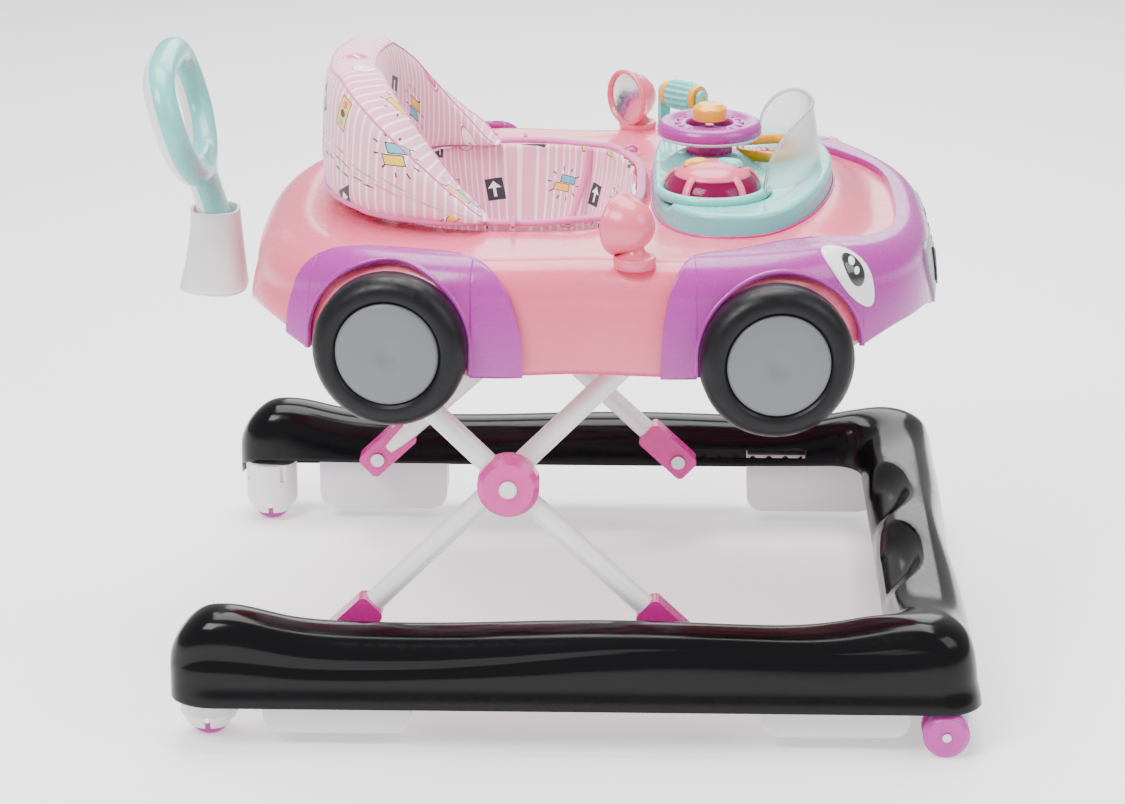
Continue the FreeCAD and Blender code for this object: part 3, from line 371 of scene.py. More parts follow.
def new_mesh(name, points, faces, smooth=True):
    mesh = bpy.data.meshes.new(name)
    mesh.from_pydata([tuple(p) for p in points], [], faces)
    mesh.update()
    work = bmesh.new()
    work.from_mesh(mesh)
    bmesh.ops.remove_doubles(work, verts=work.verts, dist=1e-5)
    bmesh.ops.dissolve_degenerate(work, edges=work.edges, dist=1e-5)
    bmesh.ops.recalc_face_normals(work, faces=work.faces)
    work.to_mesh(mesh)
    work.free()
    if smooth:
        mesh.shade_smooth()
    piece = bpy.data.objects.new(name, mesh)
    bpy.context.scene.collection.objects.link(piece)
    return piece


def grid_faces(rows, columns, closed_rows=False, closed_columns=False, start=0):
    faces = []
    for i in range(rows if closed_rows else rows - 1):
        for j in range(columns if closed_columns else columns - 1):
            a, b = i * columns + j, i * columns + (j + 1) % columns
            c, d = ((i + 1) % rows) * columns + (j + 1) % columns, ((i + 1) % rows) * columns + j
            faces.append((start + a, start + b, start + c, start + d))
    return faces


def apply_modifiers(piece):
    """Bake the modifier stack into the mesh."""
    graph = bpy.context.evaluated_depsgraph_get()
    graph.update()
    baked = bpy.data.meshes.new_from_object(piece.evaluated_get(graph), depsgraph=graph)
    piece.modifiers.clear()
    piece.data = baked
    return piece


def solid_edges(piece, thickness, offset=1.0, bevel=0.0):
    """Give an open skin its wall thickness and softened edges."""
    wall = piece.modifiers.new("wall", "SOLIDIFY")
    wall.thickness = thickness
    wall.offset = offset
    wall.use_even_offset = False
    if bevel:
        edge = piece.modifiers.new("edge", "BEVEL")
        edge.width = bevel
        edge.segments = 2
        edge.limit_method = "ANGLE"
        edge.angle_limit = math.radians(50)
    return apply_modifiers(piece)


def smoothstep(value, low, high):
    t = min(1.0, max(0.0, (value - low) / (high - low)))
    return t * t * (3 - 2 * t)


def lathe(name, profile, steps=64):
    """Turn (radius, height) points about Z. Points at radius 0 close the ends."""
    points = [(r * math.cos(a), r * math.sin(a), z)
              for a in (2 * math.pi * i / steps for i in range(steps)) for r, z in profile]
    faces = grid_faces(steps, len(profile), closed_rows=True)
    return new_mesh(name, points, faces)


def smooth_path(points, count, closed=False):
    """Points spread along a Catmull-Rom curve through the given points."""
    pts = [np.array(p, float) for p in points]
    if closed:
        pts = [pts[-1]] + pts + pts[:2]
    else:
        pts = [2 * pts[0] - pts[1]] + pts + [2 * pts[-1] - pts[-2]]
    spans = len(pts) - 3
    result = []
    total = count if closed else count - 1
    for k in range(count):
        place = spans * k / total
        i = min(int(place), spans - 1)
        t = place - i
        p0, p1, p2, p3 = pts[i:i + 4]
        result.append(0.5 * (2 * p1 + (p2 - p0) * t + (2 * p0 - 5 * p1 + 4 * p2 - p3) * t * t
                             + (3 * p1 - p0 - 3 * p2 + p3) * t ** 3))
    return result


def tube(name, path, radius, closed=False, sides=12, flat=1.0, up=(0, 0, 1)):
    """A tube of round or flattened section along a path. radius may be a function of 0..1."""
    points = []
    count = len(path)
    for i, centre in enumerate(path):
        before = path[i - 1] if i or closed else path[0]
        after = path[(i + 1) % count] if i + 1 < count or closed else path[-1]
        along = Vector(after) - Vector(before)
        along.normalize()
        side = along.cross(Vector(up))
        if side.length < 1e-3:
            side = along.cross(Vector((1, 0, 0)))
        side.normalize()
        top = side.cross(along)
        size = radius(i / max(1, count - 1)) if callable(radius) else radius
        for k in range(sides):
            angle = 2 * math.pi * k / sides
            points.append(Vector(centre) + side * math.cos(angle) * size
                          + top * math.sin(angle) * size * flat)
    faces = grid_faces(count, sides, closed_rows=closed, closed_columns=True)
    if not closed:
        faces.append(tuple(range(sides)))
        faces.append(tuple(reversed(range((count - 1) * sides, count * sides))))
    return new_mesh(name, points, faces)


def cut_with(piece, cutter, solver="EXACT"):
    """Boolean cut, then remove the cutter."""
    tool = piece.modifiers.new("cut", "BOOLEAN")
    tool.operation = "DIFFERENCE"
    tool.solver = solver
    tool.object = cutter
    apply_modifiers(piece)
    bpy.data.objects.remove(cutter)
    return piece


def block_mesh(name, low, high):
    """A closed box used only as a cutter."""
    points = [(x, y, z) for x in (low[0], high[0]) for y in (low[1], high[1]) for z in (low[2], high[2])]
    faces = [(0, 1, 3, 2), (4, 6, 7, 5), (0, 4, 5, 1), (2, 3, 7, 6), (0, 2, 6, 4), (1, 5, 7, 3)]
    return new_mesh(name, points, faces, smooth=False)


# ---------------------------------------------------------------- base

RAIL_OUT, RAIL_IN = 0.3300, 0.2575
END_X, NOSE_X, INSIDE_X = 0.365, 0.3630, 0.2830


def base_stations():
    """Pairs of points on the outer and the inner edge, from one rail's rear end round to the other's."""
    outer_corner, inner_corner = 0.036, 0.030
    outer_x, outer_y = NOSE_X - outer_corner, RAIL_OUT - outer_corner
    inner_x, inner_y = INSIDE_X - inner_corner, RAIL_IN - inner_corner
    pairs = []
    for t in np.concatenate([0.5 * np.linspace(0, 1, 20) ** 2 * 0.14, np.linspace(0.08, 1, 130)]):
        pairs.append(((-END_X + (outer_x + END_X) * t, -RAIL_OUT),
                      (-END_X + (inner_x + END_X) * t, -RAIL_IN)))
    for angle in np.radians(np.linspace(-90, 0, 30)[1:]):
        c, s = math.cos(angle), math.sin(angle)
        pairs.append(((outer_x + outer_corner * c, -outer_y + outer_corner * s),
                      (inner_x + inner_corner * c, -inner_y + inner_corner * s)))
    for t in np.linspace(0, 1, 170)[1:]:
        pairs.append(((NOSE_X, -outer_y * (1 - t)), (INSIDE_X, -inner_y * (1 - t))))
    mirrored = [((o[0], -o[1]), (i[0], -i[1])) for o, i in reversed(pairs[:-1])]
    return pairs + mirrored


def base_section():
    """Closed section as (place across from inner 0 to outer 1, height): outside skin, then inside."""
    skin = smooth_path([(1.015, 0.0425), (1.000, 0.0500), (0.965, 0.0620), (0.945, 0.0750), (0.905, 0.0890),
                        (0.820, 0.1010), (0.670, 0.1085), (0.480, 0.1105), (0.300, 0.1085), (0.150, 0.1010),
                        (0.065, 0.0900), (0.025, 0.0790), (0.000, 0.0680)], 46)
    under = []
    for i in range(len(skin) - 1, -1, -1):
        across, z = skin[i]
        wall = 0.0035 if 0.1 < across < 0.95 else 0.0
        under.append(np.array((0.5 + (across - 0.5) * 0.90, max(0.0425, z - wall))))
    return skin, under


def make_base():
    stations = base_stations()
    skin, under = base_section()
    section = [tuple(p) for p in skin] + [tuple(p) for p in under]
    points = []
    for (ox, oy), (ix, iy) in stations:
        mx, my = (ox + ix) / 2, (oy + iy) / 2
        on_rail = abs(my) > 0.22
        end = min(1.0, abs(mx + END_X) / 0.040)
        close = math.sqrt(max(0.0, 1 - (1 - end) ** 2)) if on_rail and mx < -0.3 else 1.0
        close = max(close, 0.04)
        bulb = 0.013 * math.exp(-((mx + 0.315) / 0.050) ** 2) if on_rail else 0.0
        corner = 0.010 * math.exp(-(((mx - 0.300) / 0.06) ** 2 + ((abs(my) - 0.29) / 0.05) ** 2))
        fade = smoothstep(abs(my), 0.200, 0.288) * smoothstep(0.310 - mx, 0.0, 0.060)
        wave = 0.0020 * math.sin(mx * 17 + 0.9) * fade
        for across, z in section:
            lift = smoothstep(z, 0.060, 0.105)
            grow = (bulb + corner + wave) * lift
            crease_z = 0.0865 + 0.0085 * math.sin(mx * 8.5 + 0.4)
            crease = 0.040 * fade * math.exp(-((z - crease_z) / 0.0045) ** 2) if across > 0.6 else 0.0
            place = 0.5 + (across - crease - 0.5) * close
            height = 0.0425 + (z + grow - 0.0425) * (0.40 + 0.60 * close)
            x, y = ix + (ox - ix) * place, iy + (oy - iy) * place
            if not on_rail:
                x, height = sculpt_nose(x, y, height)
            points.append((x, y, height))
    faces = grid_faces(len(stations), len(section), closed_columns=True)
    faces.append(tuple(range(len(section))))
    faces.append(tuple(reversed(range((len(stations) - 1) * len(section), len(stations) * len(section)))))
    base = new_mesh("base_moulding", points, faces)
    for side in (-1, 1):
        wall = sorted((side * 0.245, side * 0.272))
        cut_with(base, block_mesh("slot_tool", (0.066, wall[0], 0.0755), (0.226, wall[1], 0.0845)))
    finish_piece(base, "base", "black", ["base_frame"])
    for side in (-1, 1):
        make_rack(side)


def sculpt_nose(x, y, z):
    """The cross-member's waist and the two smooth hollows pressed into its inner shoulder."""
    top = smoothstep(z, 0.062, 0.104)
    drop = 0.0
    for centre in (0.088, -0.088):
        across, along = (x - 0.288) / 0.038, (y - centre) / 0.084
        oval = max(0.0, 1 - across ** 2 - along ** 2)
        drop = max(drop, 0.015 * smoothstep(oval, 0.0, 0.80))
    waist = math.exp(-(y / 0.09) ** 2)
    return x - 0.007 * waist * smoothstep(x, 0.33, 0.36), z - drop * top + 0.003 * waist * top


def make_rack(side):
    """Dark ribbed rack behind the slot in the rail's inner wall."""
    pieces = []
    y = side * 0.2705
    for i in range(9):
        x0 = 0.070 + i * 0.017
        for lean in (0.0, 0.0085):
            start, end = (0.066, 0.0745) if lean else (0.0745, 0.066)
            path = [(x0 + lean, y, start), (x0 + 0.0085 + lean, y, end)]
            pieces.append(tube("rib", path, 0.0013, sides=6))
    rack = join(pieces, f"slot_rack_{'left' if side > 0 else 'right'}")
    finish_piece(rack, "base", "slot")


# ---------------------------------------------------------------- car body surface

REAR, FRONT, HALF = 0.312, 0.322, 0.272
SAMPLES = 1600
RIM_X, RIM_HALF_X, RIM_HALF_Y = -0.060, 0.118, 0.150


def plan_outline():
    """Outline of the skirt as points and lengths, from the middle of the right side round the nose."""
    angles = np.linspace(-math.pi / 2, 1.5 * math.pi, 6001)
    cos, sin = np.cos(angles), np.sin(angles)
    front = cos >= 0
    power = np.where(front, 2 / 2.8, 2 / 2.8)
    x = np.where(front, FRONT, REAR) * np.sign(cos) * np.abs(cos) ** power
    y = HALF * np.sign(sin) * np.abs(sin) ** power
    waist = -0.010 * np.exp(-((x - 0.005) / 0.055) ** 2)
    y = y + np.sign(sin) * waist * (np.abs(y) > 0.15)
    step = np.hypot(np.diff(x), np.diff(y))
    length = np.concatenate([[0], np.cumsum(step)])
    even = np.linspace(0, length[-1], SAMPLES + 1)
    return np.interp(even, length, x), np.interp(even, length, y), length[-1]


OUT_X, OUT_Y, OUT_LENGTH = plan_outline()


def outline_at(place):
    """Point and outward normal of the skirt outline at a place from 0 to 1."""
    k = (place % 1.0) * SAMPLES
    i = int(k)
    t = k - i
    x = OUT_X[i] * (1 - t) + OUT_X[(i + 1) % SAMPLES] * t
    y = OUT_Y[i] * (1 - t) + OUT_Y[(i + 1) % SAMPLES] * t
    j, h = (i + 6) % SAMPLES, (i - 5) % SAMPLES
    tx, ty = OUT_X[j] - OUT_X[h], OUT_Y[j] - OUT_Y[h]
    size = math.hypot(tx, ty)
    return x, y, ty / size, -tx / size


def crown(x, y):
    """Height of the tray's top away from its shoulder."""
    bonnet = 0.014 * math.exp(-((x - 0.215) / 0.085) ** 2 - (y / 0.15) ** 2)
    nose = -0.020 * smoothstep(x, 0.235, 0.335)
    return TOP_Z - 0.0015 + bonnet + nose


def rim_point(x, y):
    """Where the ray from the seat's middle to an outline point meets the seat opening."""
    dx, dy = x - RIM_X, y
    power = 3.2
    scale = (abs(dx / RIM_HALF_X) ** power + abs(dy / RIM_HALF_Y) ** power) ** (-1 / power)
    return RIM_X + dx * scale, dy * scale


def profile(place, grow=0.0):
    """Points up the skirt, over the shoulder and in to the seat opening, grown outward by a skin."""
    x, y, nx, ny = outline_at(place)
    rear = smoothstep(-x, 0.19, 0.31)
    nose = smoothstep(x, 0.22, 0.32)
    radius = 0.034 + 0.014 * rear - 0.006 * nose
    shoulder = TOP_Z - 0.003 - 0.004 * rear - 0.010 * nose + 0.8 * grow
    low = SKIRT_Z + 0.001 + 0.026 * smoothstep(abs(x), 0.20, 0.29) * smoothstep(abs(y), 0.02, 0.14)
    pts = []
    for t in np.linspace(0, 1, 9):
        inset = 0.0015 + 0.005 * t * t + 0.002 * rear * t - grow
        pts.append((x - nx * inset, y - ny * inset, low + (shoulder - radius - low) * t))
    start = 0.0065 + 0.002 * rear - grow
    for t in np.linspace(0, 1, 15)[1:]:
        a = t * math.pi / 2
        inset = start + radius * (1 - math.cos(a)) * 0.95
        pts.append((x - nx * inset, y - ny * inset, shoulder - radius + radius * math.sin(a)))
    sx, sy, sz = pts[-1]
    rx, ry = rim_point(x, y)
    span = math.hypot(rx - sx, ry - sy)
    for t in np.linspace(0, 1, 25)[1:]:
        px, py = sx + (rx - sx) * t, sy + (ry - sy) * t
        pts.append((px, py, sz + (crown(px, py) + 0.5 * grow - sz) * smoothstep(t * span, 0.0, 0.060)))
    pts = np.array(pts)
    lengths = np.concatenate([[0], np.cumsum(np.linalg.norm(np.diff(pts, axis=0), axis=1))])
    return pts, lengths


PROFILES = {}


def cached_profile(place, grow):
    key = (round(place % 1.0, 6), grow)
    if key not in PROFILES:
        PROFILES[key] = profile(*key)
    return PROFILES[key]


def surface(place, along, grow=0.0):
    """Point on the body at a place round the outline and a distance up the profile."""
    pts, lengths = cached_profile(place, grow)
    return Vector([float(np.interp(along, lengths, pts[:, k])) for k in range(3)])


def height_to_along(place, z, grow=0.0):
    """Distance up the profile at which the skirt or shoulder reaches height z."""
    pts, lengths = cached_profile(place, grow)
    return float(np.interp(z, pts[:23, 2], lengths[:23]))


def place_of_x(x, side=-1):
    """Place on the right (or left) side of the outline whose X is x."""
    quarter = SAMPLES // 4
    indices = np.arange(-quarter - 60, quarter + 60)
    xs = OUT_X[indices % SAMPLES]
    order = np.argsort(xs)
    place = float(np.interp(x, xs[order], indices[order])) / SAMPLES
    return place if side < 0 else 0.5 - place


def make_body():
    rows = 420
    points = []
    for i in range(rows):
        pts, _ = profile(i / rows)
        points += [tuple(p) for p in pts]
    columns = len(points) // rows
    shell = new_mesh("body_moulding", points, grid_faces(rows, columns, closed_rows=True))
    face_outward(shell)
    solid_edges(shell, 0.0028, offset=-1.0)
    finish_piece(shell, "tray", "pink", ["body_shell"])


def face_outward(piece, middle=(0, 0, 0.30)):
    middle = Vector(middle)
    away = sum(1 if face.normal.dot(face.center - middle) > 0 else -1 for face in piece.data.polygons)
    if away < 0:
        piece.data.flip_normals()


def skin_piece(name, places, low_of, high_of, rows, grow, thickness):
    """A skin over the body between two edges, given as lengths up the profile at each place."""
    points = []
    for place in places:
        low = low_of(place)
        high = max(high_of(place), low)
        for j in range(rows):
            points.append(surface(place, low + (high - low) * j / (rows - 1), grow))
    skin = new_mesh(name, points, grid_faces(len(places), rows))
    face_outward(skin)
    return solid_edges(skin, thickness, offset=-1.0, bevel=0.0012)


def tyre_box(front):
    """Centre and radius of a decorative tyre, in base-centred coordinates."""
    low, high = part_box("front_tyres" if front else "rear_tyres")
    return (low.x + high.x) / 2 - MIDDLE, (low.z + high.z) / 2, (high.z - low.z) / 2


SKIN, EYE_Z = 0.0075, 0.4190


def arch_along(place, x, x0, z0, arch):
    return height_to_along(place, z0 + math.sqrt(max(0.0, arch ** 2 - (x - x0) ** 2)), SKIN)


def arch_lip(x0, z0, arch, low, side, reach=0.0015):
    """Raised bead that follows a wheel arch and runs down both of its legs."""
    path = []
    for z in np.linspace(low, z0, 6)[:-1]:
        path.append((x0 + arch, z))
    path += [(x0 + arch * math.cos(a), z0 + arch * math.sin(a)) for a in np.linspace(0, math.pi, 60)]
    path += [(x0 - arch, z) for z in np.linspace(z0, low, 6)[1:]]
    points = []
    for x, z in path:
        place = place_of_x(x, side)
        _, _, nx, ny = outline_at(place)
        points.append(surface(place, height_to_along(place, z, SKIN), SKIN) + Vector((nx, ny, 0)) * -reach)
    return tube("arch_lip", points, 0.0028, sides=10)


def fender_pieces(side):
    x0, z0, radius = tyre_box(False)
    arch = radius + 0.004
    left, right = x0 - 0.092, x0 + 0.118
    middle, half = (left + right) / 2, (right - left) / 2
    crest = height_to_along(place_of_x(x0, side), TOP_Z + 0.0025, SKIN) + 0.010

    def top(place):
        t = min(1.0, abs(outline_at(place)[0] - middle) / half)
        return crest * (1 - t ** 2.5) ** (1 / 2.5)

    def low_upper(place):
        return min(arch_along(place, outline_at(place)[0], x0, z0, arch), top(place) - 0.004)

    def high_leg(place):
        return min(height_to_along(place, z0, SKIN), top(place))

    steps = [left + (right - left) * (0.5 - 0.5 * math.cos(math.pi * k / 120)) for k in range(121)]
    steps += [x0 + arch * math.cos(a) for a in np.linspace(0, math.pi, 60)]
    steps = sorted(set(steps))
    places = [place_of_x(x, side) for x in steps]
    legs = [[place_of_x(x, side) for x in steps if low - 1e-6 <= x <= high + 1e-6]
            for low, high in ((left, x0 - arch), (x0 + arch, right))]
    middle_places = [p for p, x in zip(places, steps) if x0 - arch - 1e-6 <= x <= x0 + arch + 1e-6]
    made = [skin_piece("fender_top", middle_places, low_upper, top, 16, SKIN, 0.0072)]
    made += [skin_piece("fender_leg", leg, lambda place: 0.0, top, 22, SKIN, 0.0072) for leg in legs]
    made.append(arch_lip(x0, z0, arch, SKIRT_Z + 0.003, side))
    return made


def fascia_pieces():
    """The wrap-round front: a band over each front arch, the lamp cheeks and the nose."""
    x0, z0, radius = tyre_box(True)
    arch = radius + 0.004
    rear = 0.0735
    made = []

    def top(place):
        x, _, _, _ = outline_at(place)
        rise = min(1.0, max(0.0, (x - rear) / 0.062))
        rise = (1 - (1 - rise) ** 2.4) ** (1 / 2.4)
        shoulder = height_to_along(place, TOP_Z + 0.003, SKIN) + 0.007
        inward = 0.020 * smoothstep(x, 0.12, 0.22) - 0.022 * smoothstep(x, 0.25, 0.32)
        return (shoulder + inward) * rise

    for side in (-1, 1):
        steps = np.linspace(rear, x0 - arch, 40)
        behind = [place_of_x(x, side) for x in steps]
        made.append(skin_piece("fascia_rear", behind, lambda place: 0.0, top, 26, SKIN, 0.0072))
        over = [place_of_x(x0 + arch * math.cos(a), side) for a in np.linspace(math.pi, 0, 90)]
        made.append(skin_piece("fascia_over", over,
                               lambda place: arch_along(place, outline_at(place)[0], x0, z0, arch),
                               top, 22, SKIN, 0.0072))
        made.append(arch_lip(x0, z0, arch, SKIRT_Z + 0.003, side))
    start = place_of_x(x0 + arch, -1)
    nose = [start + (0.5 - 2 * start) * i / 260 for i in range(261)]
    made.append(skin_piece("fascia_nose", nose, lambda place: 0.0, top, 34, SKIN, 0.0072))
    return made


def patch(name, centre_place, centre_z, outline, lift, thickness, rings=10, dome=0.0):
    """A thin plate that follows the fascia: outline is (across, up) offsets in metres."""
    mid_across = sum(p[0] for p in outline) / len(outline)
    mid_up = sum(p[1] for p in outline) / len(outline)
    centre_along = height_to_along(centre_place, centre_z, SKIN)
    points = []
    for ring in range(rings + 1):
        scale = ring / rings
        for across, up in outline:
            place = centre_place + (mid_across + (across - mid_across) * scale) / OUT_LENGTH
            point = surface(place, centre_along + mid_up + (up - mid_up) * scale, SKIN)
            _, _, nx, ny = outline_at(place)
            normal = Vector((nx, ny, 0.35)).normalized()
            points.append(point + normal * (lift + dome * (1 - scale ** 2)))
    plate = new_mesh(name, points, grid_faces(rings + 1, len(outline), closed_columns=True))
    face_outward(plate)
    return solid_edges(plate, thickness, offset=-1.0, bevel=0.0008)


def oval(half_across, half_up, lean=0.0, count=48, power=2.0, centre=(0.0, 0.0)):
    points = []
    for i in range(count):
        a = 2 * math.pi * i / count
        x = half_across * math.copysign(abs(math.cos(a)) ** (2 / power), math.cos(a))
        y = half_up * math.copysign(abs(math.sin(a)) ** (2 / power), math.sin(a))
        points.append((centre[0] + x * math.cos(lean) - y * math.sin(lean),
                       centre[1] + x * math.sin(lean) + y * math.cos(lean)))
    return points


def make_face():
    """Almond headlamps with their dark pupils and highlights, and the grille with its bars."""
    eyes, pupils = [], []
    for side in (-1, 1):
        place = place_of_x(0.2440, side)
        sway = -side
        eyes.append(patch("eye", place, EYE_Z, almond(0.0172, 0.0395, sway), 0.0016, 0.004, dome=0.0020))
        dark = oval(0.0088, 0.0195, 0.32 * sway, centre=(0.0, 0.0030))
        pupils.append(patch("pupil", place, EYE_Z, dark, 0.0040, 0.0022, dome=0.0012))
        for u, v, r in ((0.0012, 0.0110, 0.0038), (-0.0008, 0.0005, 0.0030)):
            glint = oval(r, r * 1.15, centre=(sway * -u, v))
            eyes.append(patch("glint", place, EYE_Z, glint, 0.0056, 0.0014, dome=0.0004))
    finish_piece(join(eyes, "headlamp_eyes"), "tray", "eye", ["headlamps"])
    finish_piece(join(pupils, "headlamp_pupil_discs"), "tray", "pupil", ["headlamp_pupils"])
    mouth = []
    for i in range(96):
        a = 2 * math.pi * i / 96
        across = 0.106 * math.copysign(abs(math.cos(a)) ** 0.75, math.cos(a))
        up = 0.033 * math.copysign(abs(math.sin(a)) ** 0.8, math.sin(a)) + 0.012 * (across / 0.1) ** 2
        mouth.append((across, up))
    grille = patch("grille_plate", 0.25, 0.3640, mouth, 0.0030, 0.005, dome=0.002)
    finish_piece(grille, "tray", "grille", ["grille"])
    bars = []
    for i in range(-3, 4):
        across = i * 0.0235
        bar = oval(0.0075, 0.0165, 0.0, power=4.0, centre=(across, 0.004 + 0.010 * (across / 0.1) ** 2))
        bars.append(patch("bar", 0.25, 0.3640, bar, 0.0056, 0.002))
    finish_piece(join(bars, "grille_openings"), "tray", "slot")


def almond(half_across, half_up, sway):
    """A teardrop outline: broad at the top, drawn out toward the lower front."""
    points = []
    for i in range(56):
        a = 2 * math.pi * i / 56
        width = half_across * math.cos(a) * (1 + 0.18 * math.sin(a))
        up = half_up * math.sin(a)
        points.append((sway * (-0.42 * up) + width, up))
    return points


def join(pieces, name):
    """Join objects into one named piece."""
    work = bmesh.new()
    for item in pieces:
        work.from_mesh(item.data)
    bmesh.ops.remove_doubles(work, verts=work.verts, dist=2e-5)
    mesh = bpy.data.meshes.new(name)
    work.to_mesh(mesh)
    work.free()
    for item in pieces:
        bpy.data.objects.remove(item)
    mesh.shade_smooth()
    piece = bpy.data.objects.new(name, mesh)
    bpy.context.scene.collection.objects.link(piece)
    return piece


# ---------------------------------------------------------------- push handle

HANDLE_X, HANDLE_Z, HANDLE_LEAN = -0.339, 0.372, math.radians(16)


def handle_point(depth, y, up):
    """From the leaning handle's own axes (depth forward, y, up the handle) to base-centred ones."""
    c, s = math.cos(HANDLE_LEAN), math.sin(HANDLE_LEAN)
    return (HANDLE_X + depth * c - up * s, y, HANDLE_Z + depth * s + up * c)


def loop_path(count=96):
    """Centreline of the grip loop: wide shoulders low down, a flatter top."""
    right = [(0.0, 0.0840), (0.030, 0.0880), (0.058, 0.1010), (0.0775, 0.1220), (0.0825, 0.1440),
             (0.0790, 0.1670), (0.0620, 0.1840), (0.032, 0.1895)]
    outline = right + [(0.0, 0.1905)] + [(-y, up) for y, up in reversed(right[1:])]
    return [(0.001, p[0], p[1]) for p in smooth_path(outline, count, closed=True)]


def make_handle():
    pieces = [tube("loop", loop_path(), 0.0150, closed=True, sides=20, up=(1, 0, 0))]
    neck_points, steps, sides = [], 26, 28
    for i in range(steps):
        t = i / (steps - 1)
        up = 0.004 + 0.098 * t
        wide = 0.0205 + 0.006 * (1 - t) ** 3 + 0.017 * smoothstep(t, 0.55, 1.0)
        deep = 0.0135 + 0.002 * (1 - t)
        for k in range(sides):
            a = 2 * math.pi * k / sides
            c, s = math.cos(a), math.sin(a)
            neck_points.append((0.001 + deep * math.copysign(abs(s) ** 0.8, s),
                                wide * math.copysign(abs(c) ** 0.8, c), up))
    faces = grid_faces(steps, sides, closed_columns=True)
    faces.append(tuple(range(sides)))
    faces.append(tuple(reversed(range((steps - 1) * sides, steps * sides))))
    pieces.append(new_mesh("neck", neck_points, faces))
    whole = join(pieces, "handle_whole")
    remesh = whole.modifiers.new("one", "REMESH")
    remesh.mode = "VOXEL"
    remesh.voxel_size = 0.0026
    relax = whole.modifiers.new("relax", "SMOOTH")
    relax.factor, relax.iterations = 0.6, 14
    apply_modifiers(whole)
    for name, near, far, colour, node, slot_name in (
            ("handle_front", -0.1, -0.0040, "mint", "handle_front_shell", "mint_plastic"),
            ("handle_back", -0.0036, 0.1, "white", "handle_rear_shell", "white_plastic")):
        half = bpy.data.objects.new(name, whole.data.copy())
        bpy.context.scene.collection.objects.link(half)
        cut_with(half, block_mesh("splitter", (near, -0.2, -0.1), (far, 0.2, 0.4)))
        for vertex in half.data.vertices:
            vertex.co = handle_point(*vertex.co)
        half.data.shade_smooth()
        half.data.set_sharp_from_angle(angle=math.radians(50))
        finish_piece(half, "tray", colour, [node])
    bpy.data.objects.remove(whole)
    make_socket()


def make_socket():
    """Milky flared socket that joins the handle to the back of the body."""
    points, rows, columns = [], 22, 48
    for i in range(rows):
        t = i / (rows - 1)
        spread = t ** 1.7
        z = 0.4140 - 0.0740 * t
        near, far = -0.3250 + 0.006 * t, -0.3710 - 0.012 * spread
        wide = 0.0245 + 0.0160 * spread
        for k in range(columns):
            a = 2 * math.pi * k / columns
            c, s = math.cos(a), math.sin(a)
            x = (near + far) / 2 + (near - far) / 2 * math.copysign(abs(c) ** 0.7, c)
            drop = -0.006 * t * smoothstep(x, far, near)
            points.append((x, wide * math.copysign(abs(s) ** 0.7, s), max(0.3405, z + drop)))
    socket = new_mesh("handle_socket_cup", points, grid_faces(rows, columns, closed_columns=True))
    face_outward(socket, (-0.348, 0, 0.375))
    solid_edges(socket, 0.0026, offset=-1.0, bevel=0.0008)
    finish_piece(socket, "tray", "socket", ["handle_socket"])


# ---------------------------------------------------------------- dashboard and toys

DASH_X, DASH_TOP = 0.146, 0.4575


def dash_edge(angle, grow=0.0):
    """Outline of the mint insert: a rounded D that bulges to the front."""
    c, s = math.cos(angle), math.sin(angle)
    reach_x = (0.087 if c > 0 else 0.080) + grow
    power = 1.9 if c > 0 else 3.0
    reach_y = 0.172 + grow
    scale = (abs(c / reach_x) ** power + abs(s / reach_y) ** power) ** (-1 / power)
    return DASH_X + c * scale, s * scale


def dash_height(x, y):
    """The insert's top: cowl rising to the screen, steering mound, pod recess and ribbed flank."""
    rise = 0.0110 * smoothstep(x, 0.175, 0.235)
    mound = 0.0150 * smoothstep(0.052 - math.hypot(x - 0.118, y), 0.0, 0.030)
    recess = 0.0060 * smoothstep(0.056 - math.hypot(x - 0.120, y + 0.087), 0.0, 0.006)
    rib = 0.0
    if 0.052 < y < 0.092 and x < 0.112:
        rib = 0.0012 * (0.5 + 0.5 * math.cos((x - 0.07) * 2 * math.pi / 0.0065))
    return DASH_TOP + rise + mound - recess + rib


def make_dash():
    rings, around = 58, 200
    points = []
    for ring in range(rings + 1):
        share = ring / rings
        for k in range(around):
            ex, ey = dash_edge(2 * math.pi * k / around, -0.005)
            x, y = DASH_X + (ex - DASH_X) * share, ey * share
            points.append((x, y, dash_height(x, y)))
    for angle_step in range(1, 7):
        a = angle_step / 6 * math.pi / 2
        for k in range(around):
            ex, ey = dash_edge(2 * math.pi * k / around, -0.005 + 0.005 * math.sin(a))
            ix, iy = dash_edge(2 * math.pi * k / around, -0.005)
            points.append((ex, ey, dash_height(ix, iy) - 0.005 * (1 - math.cos(a))))
    for step in range(1, 6):
        t = step / 5
        for k in range(around):
            ex, ey = dash_edge(2 * math.pi * k / around, 0.0018 * t)
            ix, iy = dash_edge(2 * math.pi * k / around, -0.005)
            high = dash_height(ix, iy) - 0.005
            points.append((ex, ey, high + (0.431 - high) * t))
    dash = new_mesh("dash_insert", points, grid_faces(rings + 12, around, closed_columns=True))
    face_outward(dash, (DASH_X, 0, 0.43))
    finish_piece(dash, "tray", "mint", ["dashboard"])
    groove = [(*dash_edge(2 * math.pi * k / 120, 0.0022), 0.0) for k in range(120)]
    groove = [(x, y, crown(x, y) + 0.0006) for x, y, _ in groove]
    finish_piece(tube("dash_seam", groove, 0.0011, closed=True, sides=8), "tray", "magenta")
    rim = [(0.120 + 0.0485 * math.cos(a), -0.087 + 0.0485 * math.sin(a), DASH_TOP + 0.0012)
           for a in np.linspace(0, 2 * math.pi, 96, endpoint=False)]
    finish_piece(tube("pod_rim", rim, 0.0050, closed=True, sides=14), "tray", "mint")


